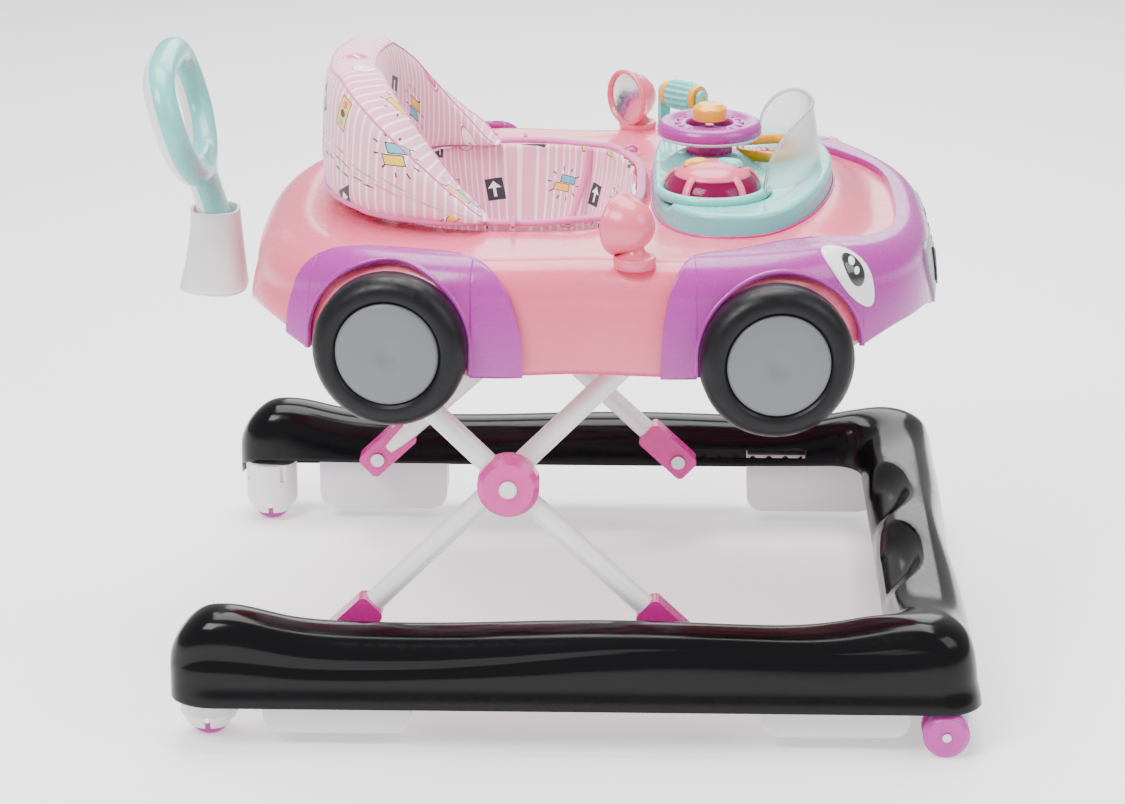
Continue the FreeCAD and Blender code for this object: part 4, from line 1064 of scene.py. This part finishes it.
def moved(piece, x, y, z, matrix=None):
    piece.data.transform(Matrix.Translation((x, y, z)) @ (matrix if matrix else Matrix.Identity(4)))
    return piece


def make_pod():
    """Pink pod with tinted windows all round, pink ribs between them and an inner drum."""
    x, y = 0.120, -0.087
    glass = lathe("pod_glass", [(0.0445, 0.4525), (0.0442, 0.4580), (0.0425, 0.4640), (0.0385, 0.4705),
                                (0.0330, 0.4750)])
    finish_piece(moved(glass, x, y, 0), "tray", "pod", ["pod_window"])
    profile_points = [(0.0, 0.4850), (0.012, 0.4846), (0.022, 0.4826), (0.030, 0.4790), (0.0345, 0.4750),
                      (0.0350, 0.4735), (0.0330, 0.4728), (0.0, 0.4728)]
    cap = moved(lathe("cap", profile_points), x, y, 0)
    drum = lathe("drum", [(0.0, 0.4700), (0.0300, 0.4690), (0.0370, 0.4600), (0.0380, 0.4530), (0.0, 0.4530)])
    drum = moved(drum, x, y, 0)
    ribs = []
    for degrees in (20, 92, 164, 236, 308):
        a = math.radians(degrees)
        arc = [(x + r * math.cos(a), y + r * math.sin(a), z) for r, z in
               ((0.0455, 0.4540), (0.0448, 0.4600), (0.0425, 0.4660), (0.0385, 0.4715), (0.0330, 0.4755))]
        ribs.append(tube("rib", smooth_path(arc, 14), 0.0040, sides=12, flat=0.55))
    finish_piece(join([cap] + ribs, "pod_shell"), "tray", "pink", ["button_pod"])
    finish_piece(drum, "tray", "magenta")
    for node, low_x, turn, colour, slot_name in (
            ("pod_button_rear", -0.0150, 0.5, "yellow", "yellow_plastic"),
            ("pod_button_front", 0.0150, -0.5, "mint", "mint_plastic")):
        points = []
        for ring in range(13):
            share = ring / 12
            for k in range(40):
                a = 2 * math.pi * k / 40
                px = 0.0135 * share * math.cos(a)
                py = 0.0085 * share * math.sin(a) * (1 + 0.35 * math.cos(a))
                wx = px * math.cos(turn) - py * math.sin(turn)
                wy = px * math.sin(turn) + py * math.cos(turn)
                height = 0.4818 + 0.0056 * math.sqrt(max(0.0, 1 - share ** 3.2))
                points.append((x + low_x + wx, y + wy + 0.002, height))
        button = new_mesh(f"{node}_leaf", points, grid_faces(13, 40, closed_columns=True))
        finish_piece(button, node, colour, [node])


def make_wheel():
    """Steering wheel: padded rim, sunk face with raised beads, white under-edge."""
    rim = [(0.0215, 0.4955), (0.0215, 0.4990), (0.0235, 0.5005), (0.0320, 0.4985), (0.0350, 0.4990),
           (0.0385, 0.5020), (0.0430, 0.5028), (0.0470, 0.5005), (0.0492, 0.4955), (0.0485, 0.4905),
           (0.0460, 0.4880), (0.0300, 0.4880), (0.0215, 0.4920), (0.0215, 0.4955)]
    wheel = lathe("wheel", rim, 96)
    beads = []
    for i in range(16):
        a = 2 * math.pi * i / 16
        arc = [(r * math.cos(a + d), r * math.sin(a + d), 0.4992) for r, d in
               ((0.0255, 0.0), (0.0285, 0.05), (0.0320, 0.0))]
        beads.append(tube("bead", smooth_path(arc, 7), 0.0012, sides=8))
    piece = join([wheel] + beads, "steering_wheel_moulding")
    finish_piece(moved(piece, 0.118, 0, 0), "steering", "purple", ["steering_wheel"])
    under = lathe("wheel_under_edge", [(0.0300, 0.4870), (0.0462, 0.4870), (0.0480, 0.4890), (0.0484, 0.4904),
                                       (0.0300, 0.4895),
                                       (0.0300, 0.4870)], 96)
    finish_piece(moved(under, 0.118, 0, 0), "steering", "white")
    flutes = []
    for i in range(20):
        a = 2 * math.pi * i / 20
        column = [(0.118 + 0.0198 * math.cos(a), 0.0198 * math.sin(a), z) for z in (0.468, 0.478, 0.4875)]
        flutes.append(tube("flute", column, 0.0019, sides=8))
    finish_piece(join(flutes, "column_flutes"), "tray", "magenta")


def make_screen():
    """Frosted curved screen with rounded upper corners, leaning back toward the child."""
    spread = math.radians(60)
    rows, columns = 20, 80
    points, edge = [], []
    for j in range(columns):
        phi = -spread + 2 * spread * j / (columns - 1)
        tall = max(0.004, 0.0590 * math.sqrt(max(0.0, 1 - (abs(phi) / spread) ** 3.2)))
        for i in range(rows):
            up = tall * i / (rows - 1)
            lean = 0.0080 * (up / 0.06) ** 1.5
            points.append((0.113 + (0.109 - lean) * math.cos(phi), (0.124 - lean) * math.sin(phi),
                           0.4620 + up))
        edge.append(points[-1])
    grid = [(j * rows + i, (j + 1) * rows + i, (j + 1) * rows + i + 1, j * rows + i + 1)
            for j in range(columns - 1) for i in range(rows - 1)]
    screen = new_mesh("screen_pane", points, grid)
    face_outward(screen, (0.113, 0, 0.49))
    solid_edges(screen, 0.0022, offset=-1.0, bevel=0.0006)
    finish_piece(screen, "tray", "frosted", ["windscreen"])
    finish_piece(tube("screen_rim", edge, 0.0017, sides=10), "tray", "frosted")


def make_gauge():
    """Wavy yellow frame round the striped card."""
    path = []
    for i in range(140):
        a = 2 * math.pi * i / 140
        wave = 1 + 0.055 * math.cos(5 * a)
        path.append((0.174 + 0.0275 * wave * math.copysign(abs(math.cos(a)) ** 0.8, math.cos(a)),
                     0.040 + 0.0345 * wave * math.copysign(abs(math.sin(a)) ** 0.8, math.sin(a)), 0.4655))
    frame_tube = tube("gauge_frame", path, 0.0042, closed=True, sides=14, flat=1.25)
    finish_piece(frame_tube, "tray", "yellow", ["gauge_bezel"])


def make_roller():
    """Ribbed barrel that spins between its two yellow ends."""
    low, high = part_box("roller_barrel")
    centre = (low + high) / 2
    steps, rows = 112, 15
    points = []
    for i in range(rows):
        t = i / (rows - 1)
        end = min(1.0, min(t, 1 - t) / 0.12)
        for k in range(steps):
            a = 2 * math.pi * k / steps
            r = 0.0118 + 0.0014 * math.sqrt(end) + 0.0012 * math.sqrt(end) * math.cos(14 * a)
            points.append((r * math.cos(a), r * math.sin(a), -0.0150 + 0.030 * t))
    faces = grid_faces(rows, steps, closed_columns=True)
    faces += [tuple(range(steps)), tuple(reversed(range((rows - 1) * steps, rows * steps)))]
    barrel = new_mesh("ribbed_barrel", points, faces)
    along = Vector((-math.sin(math.radians(50)), math.cos(math.radians(50)), 0))
    barrel.data.transform(Matrix.Translation((centre.x - MIDDLE, centre.y, centre.z))
                          @ along.to_track_quat("Z", "Y").to_matrix().to_4x4())
    finish_piece(barrel, "roller", "mint", ["roller_barrel"])


def make_mirrors():
    """Bullet-shaped mirrors on short stalks with a ringed foot."""
    for side in (-1, 1):
        y = side * 0.243
        shell = [(0.0, 0.0325), (0.007, 0.0315), (0.0145, 0.0275), (0.0205, 0.0205), (0.0240, 0.0120),
                 (0.0262, 0.0050), (0.0280, 0.0025), (0.0285, 0.0), (0.0270, -0.0018), (0.0245, -0.0010),
                 (0.0240, 0.0025), (0.0, 0.0030)]
        head = lathe("head", shell, 72)
        aim = Matrix.Rotation(math.radians(40) * side, 4, "Z") @ Matrix.Rotation(math.pi / 2, 4, "Y")
        rim_x, rim_y = 0.0377, side * 0.2327
        moved(head, rim_x, rim_y, 0.466, aim)
        stalk = lathe("stalk", [(0.0, 0.4300), (0.0185, 0.4300), (0.0190, 0.4385), (0.0178, 0.4402),
                                (0.0165, 0.4396), (0.0150, 0.4402), (0.0105, 0.4425), (0.0082, 0.4470),
                                (0.0076, 0.4560), (0.0, 0.4570)], 56)
        moved(stalk, 0.050, y, 0)
        name = "right" if side < 0 else "left"
        node = ["mirror_shells"] if side < 0 else []
        finish_piece(join([head, stalk], f"mirror_{name}"), "tray", "pink", node)
        glass = lathe(f"mirror_glass_{name}", [(0.0, 0.0006), (0.012, 0.0008), (0.0242, 0.0016)], 56)
        moved(glass, rim_x, rim_y, 0.466, aim)
        finish_piece(glass, "tray", "mirror", ["mirror_lenses"] if side < 0 else [])


# ---------------------------------------------------------------- tyres

def make_tyres():
    """Rounded solid tyres with a dished grey cap and a small dimple at its middle."""
    for front in (False, True):
        x, z, radius = tyre_box(front)
        toe = math.radians(7 if front else -7)
        word = "front" if front else "rear"
        for side in (-1, 1):
            profile_points = [
                (radius - 0.004, -0.0330), (radius, -0.0290), (radius, -0.0130), (radius - 0.0015, -0.0080),
                (radius - 0.0060, -0.0026), (radius - 0.0110, -0.0004), (0.0500, 0.0), (0.0488, -0.0006),
                (0.0474, -0.0040), (0.0, -0.0045)]
            tyre = lathe("tyre", profile_points, 112)
            cap_points = [(0.0, -0.0020), (0.0050, -0.0018), (0.0085, -0.0004), (0.0110, 0.0006),
                          (0.0180, 0.0004), (0.0300, -0.0004), (0.0430, -0.0010), (0.0455, -0.0020), (0.0462, -0.0045)]
            cap = lathe("cap", cap_points, 96)
            aim = Matrix.Rotation(toe * -side, 4, "Z") @ Matrix.Rotation(-side * math.pi / 2, 4, "X")
            for item in (tyre, cap):
                moved(item, x, side * 0.292, z, aim)
            name = f"{word}_{'left' if side > 0 else 'right'}"
            tyre.name, cap.name = f"tyre_{name}", f"hub_cap_{name}"
            finish_piece(tyre, "tray", "tyre", [f"{word}_tyres"] if side < 0 else [])
            finish_piece(cap, "tray", "cap", ["hub_caps"] if side < 0 and front else [])


# ---------------------------------------------------------------- seat

PAD_X, PAD_WIDE, PAD_LONG = -0.1020, 0.1400, 0.1150
PAD_LOW, PAD_HIGH = 0.4435, 0.5640


def pad_line(count):
    """Points, outward directions and running lengths along the pad's plan centreline."""
    angles = np.radians(np.linspace(-97, 97, 1200))
    c, s = np.cos(angles), np.sin(angles)
    x = PAD_X - PAD_LONG * np.sign(c) * np.abs(c) ** 0.86
    y = PAD_WIDE * np.sign(s) * np.abs(s) ** 0.86
    length = np.concatenate([[0], np.cumsum(np.hypot(np.diff(x), np.diff(y)))])
    even = np.linspace(0, length[-1], count)
    px, py = np.interp(even, length, x), np.interp(even, length, y)
    tx, ty = np.gradient(px), np.gradient(py)
    size = np.hypot(tx, ty)
    return list(zip(px, py, -ty / size, tx / size, even))


def pad_top(x):
    return PAD_HIGH - 1.0 * max(0.0, x + 0.205)


def make_seat():
    make_back_pad()
    make_sling()


def make_back_pad():
    """Foam-filled fabric roll that wraps the back of the seat, higher at the rear, with panel seams."""
    stations, around = 150, 44
    points, uvs = [], []
    line = pad_line(stations)
    for i, (px, py, nx, ny, run) in enumerate(line):
        end = min(1.0, min(i, stations - 1 - i) / 7)
        taper = math.sqrt(max(0.02, 1 - (1 - end) ** 2))
        high = pad_top(px)
        half = 0.5 * 0.058 * taper
        low = PAD_LOW + 0.0015
        tall = (high - low) * (0.55 + 0.45 * taper)
        ring = 0.0
        last = None
        for k in range(around):
            a = 2 * math.pi * k / around
            c, s = math.cos(a), math.sin(a)
            across = half * math.copysign(abs(c) ** 0.45, c)
            up = 0.5 * math.copysign(abs(s) ** 0.45, s) + 0.5
            narrow = 1.0 - 0.08 * up
            shift = -0.004 * up
            out = across * narrow + shift
            point = Vector((px + nx * out, py + ny * out, low + tall * up))
            if last is not None:
                ring += (point - last).length
            last = point
            points.append(point)
            uvs.append((run, ring))
    faces = grid_faces(stations, around, closed_columns=True)
    faces += [tuple(range(around)), tuple(reversed(range((stations - 1) * around, stations * around)))]
    mesh = bpy.data.meshes.new("seat_back_cushion")
    mesh.from_pydata([tuple(p) for p in points], [], faces)
    layer = mesh.uv_layers.new(name="cloth")
    for face in mesh.polygons:
        for corner in face.loop_indices:
            index = mesh.loops[corner].vertex_index
            layer.data[corner].uv = uvs[index]
    work = bmesh.new()
    work.from_mesh(mesh)
    bmesh.ops.recalc_face_normals(work, faces=work.faces)
    work.to_mesh(mesh)
    work.free()
    mesh.shade_smooth()
    pad = bpy.data.objects.new("seat_back_cushion", mesh)
    bpy.context.scene.collection.objects.link(pad)
    puff(pad, 0.010, 3.2)
    crease_cloth(pad, 0.0016)
    finish_piece(pad, "tray", "fabric", ["seat_back_pad"])
    co = [v.co.copy() - Vector((MIDDLE, 0, 0)) for v in pad.data.vertices]
    for name, column in (("outer_top", 7), ("inner_top", 15)):
        seam = [co[i * around + column] for i in range(2, stations - 2)]
        finish_piece(tube(f"seam_{name}", seam, 0.0011, sides=8), "tray", "trim")
    bottom = [co[i * around + around - 6] + Vector((0, 0, -0.002)) for i in range(2, stations - 2)]
    bottom = [Vector((p.x, p.y, max(p.z, 0.4460))) for p in bottom]
    finish_piece(tube("pad_binding", bottom, 0.0026, sides=10), "tray", "trim")


def puff(pad, cap, pressure):
    """Blow the cushion up a little inside its seams, then keep the result within a cap."""
    before = [v.co.copy() for v in pad.data.vertices]
    seams = pad.vertex_groups.new(name="seams")
    around = 44
    held = [v.index for v in pad.data.vertices
            if v.index % around in (6, 7, 15, 16, 29, 30, 37, 38) or v.co.z < PAD_LOW + 0.004]
    seams.add(held, 1.0, "REPLACE")
    cloth = pad.modifiers.new("cloth", "CLOTH")
    settings = cloth.settings
    settings.quality = 6
    settings.mass = 0.2
    settings.tension_stiffness = settings.compression_stiffness = 12
    settings.bending_stiffness = 0.4
    settings.use_pressure = True
    settings.uniform_pressure_force = pressure
    settings.vertex_group_mass = "seams"
    settings.effector_weights.gravity = 0.0
    cloth.point_cache.frame_start, cloth.point_cache.frame_end = 1, 20
    for step in range(1, 21):
        bpy.context.scene.frame_set(step)
    apply_modifiers(pad)
    bpy.context.scene.frame_set(1)
    for vertex, start in zip(pad.data.vertices, before):
        shift = vertex.co - start
        if shift.length > cap:
            vertex.co = start + shift * (cap / shift.length)


def crease_cloth(piece, depth):
    """Soft folds: long, shallow ripples and finer puckers."""
    for vertex in piece.data.vertices:
        p = vertex.co
        fold = noise.noise(Vector((p.x * 26, p.y * 26, p.z * 9)))
        fold += 0.5 * noise.noise(Vector((p.x * 60, p.y * 60, p.z * 34)))
        vertex.co = p + vertex.normal * depth * fold


def make_sling():
    """Fabric seat: side walls, rounded bottom and two leg holes, bound and seamed."""
    rows, around = 46, 176
    points, uvs = [], []
    for i in range(rows + 1):
        t = i / rows
        for k in range(around):
            a = 2 * math.pi * k / around
            c, s = math.cos(a), math.sin(a)
            if t < 0.7:
                u = t / 0.7
                shrink = 1 - 0.42 * u ** 1.5
                z = 0.4415 - 0.1490 * u
            else:
                u = (t - 0.7) / 0.3
                shrink = 0.58 * math.sqrt(max(0.0, 1 - u ** 2))
                z = 0.2925 - 0.0190 * u
            power = 2 / 3.0
            x = RIM_X + (RIM_HALF_X - 0.009) * shrink * math.copysign(abs(c) ** power, c)
            y = (RIM_HALF_Y - 0.009) * shrink * math.copysign(abs(s) ** power, s)
            gather = 0.0016 * math.sin(a * 34) * smoothstep(0.25 - t, 0.0, 0.25)
            points.append((x + gather * c, y + gather * s, z))
            uvs.append((0.135 * a, 0.30 - 0.26 * t))
    faces = grid_faces(rows + 1, around, closed_columns=True)
    mesh = bpy.data.meshes.new("seat_cloth")
    mesh.from_pydata(points, [], faces)
    layer = mesh.uv_layers.new(name="cloth")
    for face in mesh.polygons:
        wraps = any(mesh.loops[corner].vertex_index % around == 0 for corner in face.loop_indices) and any(
            mesh.loops[corner].vertex_index % around == around - 1 for corner in face.loop_indices)
        for corner in face.loop_indices:
            index = mesh.loops[corner].vertex_index
            u, v = uvs[index]
            layer.data[corner].uv = (u + (0.135 * 2 * math.pi if wraps and index % around == 0 else 0.0), v)
    mesh.shade_smooth()
    cloth = bpy.data.objects.new("seat_cloth", mesh)
    bpy.context.scene.collection.objects.link(cloth)
    face_outward(cloth, (RIM_X, 0, 0.36))
    crease_cloth(cloth, 0.0022)
    cut_leg_holes(cloth)
    solid_edges(cloth, 0.0024, offset=-1.0)
    finish_piece(cloth, "tray", "fabric", ["seat_sling"])
    trim_seat()


def cut_leg_holes(cloth):
    """Open the two leg holes in the front wall and bind their edges."""
    for side in (-1, 1):
        centre = Vector((0.0, side * 0.058, 0.350))
        direction = Vector((0.94, side * 0.10, -0.33)).normalized()
        frame_x = Vector((0, 1, 0))
        frame_y = direction.cross(frame_x).normalized()
        work = bmesh.new()
        work.from_mesh(cloth.data)
        doomed, edge_points = [], []
        for vertex in work.verts:
            offset = vertex.co - centre
            if offset.dot(direction) < -0.02:
                continue
            across, up = offset.dot(frame_x) / 0.045, offset.dot(frame_y) / 0.049
            if across * across + up * up < 1 and vertex.co.x > -0.03:
                doomed.append(vertex)
        bmesh.ops.delete(work, geom=doomed, context="VERTS")
        work.verts.ensure_lookup_table()
        loose = [v for v in work.verts if v.is_boundary and v.co.x > -0.05 and (v.co - centre).length < 0.085
                 and v.co.z < 0.43 and v.co.y * side > 0]
        for vertex in loose:
            offset = vertex.co - centre
            across, up = offset.dot(frame_x) / 0.045, offset.dot(frame_y) / 0.049
            size = math.hypot(across, up)
            if size > 1e-6 and size < 1.25:
                vertex.co += frame_x * (across / size - across) * 0.045 + frame_y * (up / size - up) * 0.049
                edge_points.append((math.atan2(up, across), vertex.co.copy()))
        work.to_mesh(cloth.data)
        work.free()
        edge_points.sort(key=lambda item: item[0])
        path = [tuple(co) for _, co in edge_points][::3]
        if len(path) > 8:
            word = "left" if side > 0 else "right"
            hem = tube(f"leg_hem_{word}", smooth_path(path, 90, closed=True), 0.0024, closed=True, sides=10)
            finish_piece(hem, "tray", "trim")


def trim_seat():
    """Binding round the opening, its small loops, and the stitched seams down the cloth."""
    power = 2 / 3.0
    rim = []
    for k in range(220):
        a = 2 * math.pi * k / 220
        c, s = math.cos(a), math.sin(a)
        ripple = 0.0010 * math.sin(a * 9)
        rim.append((RIM_X + (RIM_HALF_X - 0.003) * math.copysign(abs(c) ** power, c),
                    (RIM_HALF_Y - 0.003) * math.copysign(abs(s) ** power, s), 0.4430 + ripple))
    binding = tube("seat_binding", rim, 0.0042, closed=True, sides=12, flat=0.7)
    finish_piece(binding, "tray", "trim", ["seat_ring"])
    for index, angle in enumerate((38, 90, 142, 218, 270, 322)):
        a = math.radians(angle)
        c, s = math.cos(a), math.sin(a)
        x = RIM_X + (RIM_HALF_X + 0.001) * math.copysign(abs(c) ** power, c)
        y = (RIM_HALF_Y + 0.001) * math.copysign(abs(s) ** power, s)
        out = Vector((c, s, 0))
        loop = [Vector((x, y, 0.4440)) + out * dx + Vector((0, 0, dz)) for dx, dz in
                ((-0.004, 0.003), (0.003, 0.0045), (0.009, 0.0015), (0.010, -0.002), (0.004, -0.001),
                 (-0.003, -0.001))]
        tape = tube(f"binding_loop_{index}", smooth_path(loop, 22), 0.0019, sides=8, flat=0.8)
        finish_piece(tape, "tray", "trim")
    for side in (-1, 1):
        seam = []
        for i in range(26):
            t = i / 25
            a = math.radians(62 * side)
            c, s = math.cos(a), math.sin(a)
            shrink = 1 - 0.42 * t ** 1.5
            x = RIM_X + (RIM_HALF_X - 0.012) * shrink * math.copysign(abs(c) ** power, c)
            y = (RIM_HALF_Y - 0.012) * shrink * math.copysign(abs(s) ** power, s)
            seam.append((x, y, 0.4415 - 0.1490 * t * 0.55))
        word = "left" if side > 0 else "right"
        finish_piece(tube(f"cloth_seam_{word}", seam, 0.0034, sides=10), "tray", "trim")


# ---------------------------------------------------------------- camera, light, floor

def make_stage():
    bpy.ops.mesh.primitive_plane_add(size=12, location=(0, 0, -0.0005))
    floor = bpy.context.object
    floor.name = "floor"
    s = Shader("pale_floor")
    s.put(s.bsdf.inputs["Base Color"], s.mix(s.noise(3.0), (0.90, 0.90, 0.91), (0.93, 0.93, 0.94)))
    s.bsdf.inputs["Roughness"].default_value = 0.6
    s.bsdf.inputs["Emission Color"].default_value = (1, 1, 1, 1)
    s.bsdf.inputs["Emission Strength"].default_value = 0.55
    floor.data.materials.append(s.material)
    world = bpy.data.worlds.new("studio")
    bpy.context.scene.world = world
    world.use_nodes = True
    world.node_tree.nodes["Background"].inputs[0].default_value = (1, 1, 1, 1)
    world.node_tree.nodes["Background"].inputs[1].default_value = 0.62
    for name, place, size, power in (("key", (-1.4, -1.8, 2.6), 1.4, 105),
                                     ("fill", (2.2, -1.2, 1.9), 1.6, 34),
                                     ("top", (0.0, 0.6, 2.8), 2.0, 130), ("back", (0.2, 2.6, 1.6), 1.6, 30)):
        data = bpy.data.lights.new(name, "AREA")
        data.size = size
        data.energy = power
        lamp = bpy.data.objects.new(name, data)
        bpy.context.scene.collection.objects.link(lamp)
        lamp.location = place
        lamp.rotation_euler = (Vector((0, 0, 0.25)) - Vector(place)).to_track_quat("-Z", "Y").to_euler()


def make_camera():
    data = bpy.data.cameras.new("camera")
    data.sensor_width = 36.0
    data.lens = 116.24
    camera = bpy.data.objects.new("camera", data)
    camera.location = (0.0645 + MIDDLE, -3.3074, 1.3298)
    camera.rotation_euler = (math.radians(71.5), 0, math.radians(1.455))
    bpy.context.scene.collection.objects.link(camera)
    bpy.context.scene.camera = camera


# ---------------------------------------------------------------- carried-over CAD nodes

NODE_MATERIAL = {
    "white": ["rear_wheel_hoods", "grip_blocks", "caster_fork_right", "caster_fork_left", "caster_sockets",
              "hub_pins", "handle_rear_shell"],
    "chrome": ["rear_axles"], "rubber": ["grip_pads"],
    "steel": ["pivot_bolts", "slide_pins", "caster_pin_right", "caster_pin_left"],
    "wheel": ["rear_wheel_right", "rear_wheel_left", "caster_wheels_right", "caster_wheels_left"],
    "tube": ["inner_leg_tube", "outer_leg_tube"],
    "magenta": ["inner_leg_brackets", "outer_leg_brackets", "hub_cover_right", "hub_cover_left",
                "steering_column"],
    "pink": ["body_shell", "mirror_shells", "button_pod"],
    "purple": ["rear_fender_right", "rear_fender_left", "front_fascia", "steering_wheel"],
    "grille": ["grille"], "eye": ["headlamps"], "pupil": ["headlamp_pupils"],
    "tyre": ["front_tyres", "rear_tyres"], "cap": ["hub_caps"], "mirror": ["mirror_lenses"],
    "inner": ["leg_pivot_clamps", "leg_slide_tracks", "battery_box", "battery_cover"],
    "trim": ["seat_ring"], "fabric": ["seat_sling", "seat_back_pad"],
    "mint": ["dashboard", "roller_barrel", "roller_bracket", "handle_front_shell", "pod_button_front"],
    "frosted": ["windscreen"], "socket": ["handle_socket"],
    "yellow": ["horn_button", "pod_button_rear", "gauge_bezel", "roller_caps"],
    "pod": ["pod_window"], "card": ["gauge_card"], "red": ["gauge_pointer"], "black": ["base_frame"],
}


def dress_nodes():
    for material, names in NODE_MATERIAL.items():
        for name in names:
            data = NODES[name].data
            data.materials.clear()
            data.materials.append(MATERIAL[material])


def tuck_in(node, body, above, share, colour, stem=None):
    """A hidden fitting, with what rises above a height shortened so that the visual skin covers it.

    A stem is (x, y, radius, above, share): inside that radius it has its own height and share.
    """
    source = NODES[node]
    mesh = source.data.copy()
    mesh.transform(source.matrix_world)
    for vertex in mesh.vertices:
        start, left = above, share
        if stem and math.hypot(vertex.co.x - stem[0], vertex.co.y - stem[1]) < stem[2]:
            start, left = stem[3], stem[4]
        if vertex.co.z > start:
            vertex.co.z = start + (vertex.co.z - start) * left
    mesh.transform(Matrix.Translation((-MIDDLE, 0, 0)))
    piece = bpy.data.objects.new(f"{node}_fitting", mesh)
    bpy.context.scene.collection.objects.link(piece)
    finish_piece(piece, body, colour, [node])


def make_hidden_fittings():
    """The fittings under the body and in the base, and the cups that the caster stems stand in."""
    under_deck, crown_top, stem_top, stem_radius = 0.415, 0.0410, 0.046, 0.0055
    tuck_in("leg_pivot_clamps", "tray", under_deck, 0.6, "inner")
    tuck_in("leg_slide_tracks", "tray", under_deck, 0.6, "inner")
    tuck_in("battery_box", "tray", under_deck - 0.010, 0.4, "inner")
    low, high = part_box("caster_sockets")
    for side, sign in (("right", -1), ("left", 1)):
        stem = ((low.x + high.x) / 2, sign * (high.y - 0.010), stem_radius, stem_top, 0.2)
        tuck_in(f"caster_fork_{side}", f"caster_{side}", crown_top, 0.02, "white", stem)
    x = (low.x + high.x) / 2 - MIDDLE
    y = high.y - 0.010
    ring = [(0.0052, 0.0480), (0.0088, 0.0480), (0.0088, 0.0570), (0.0052, 0.0570), (0.0052, 0.0480)]
    cups = [moved(lathe("cup", ring, 40), x, side * y, 0) for side in (-1, 1)]
    finish_piece(join(cups, "caster_socket_cups"), "base", "white", ["caster_sockets"])


dress_nodes()
make_stage()
make_camera()
make_base()
make_body()
for side_name, side in (("right", -1), ("left", 1)):
    fender = join(fender_pieces(side), f"fender_{side_name}")
    finish_piece(fender, "tray", "purple", [f"rear_fender_{side_name}"])
fascia = join(fascia_pieces(), "front_fascia_moulding")
finish_piece(fascia, "tray", "purple", ["front_fascia"])
make_face()
make_handle()
make_dash()
make_pod()
make_wheel()
make_screen()
make_gauge()
make_roller()
make_mirrors()
make_seat()
make_tyres()
make_hidden_fittings()
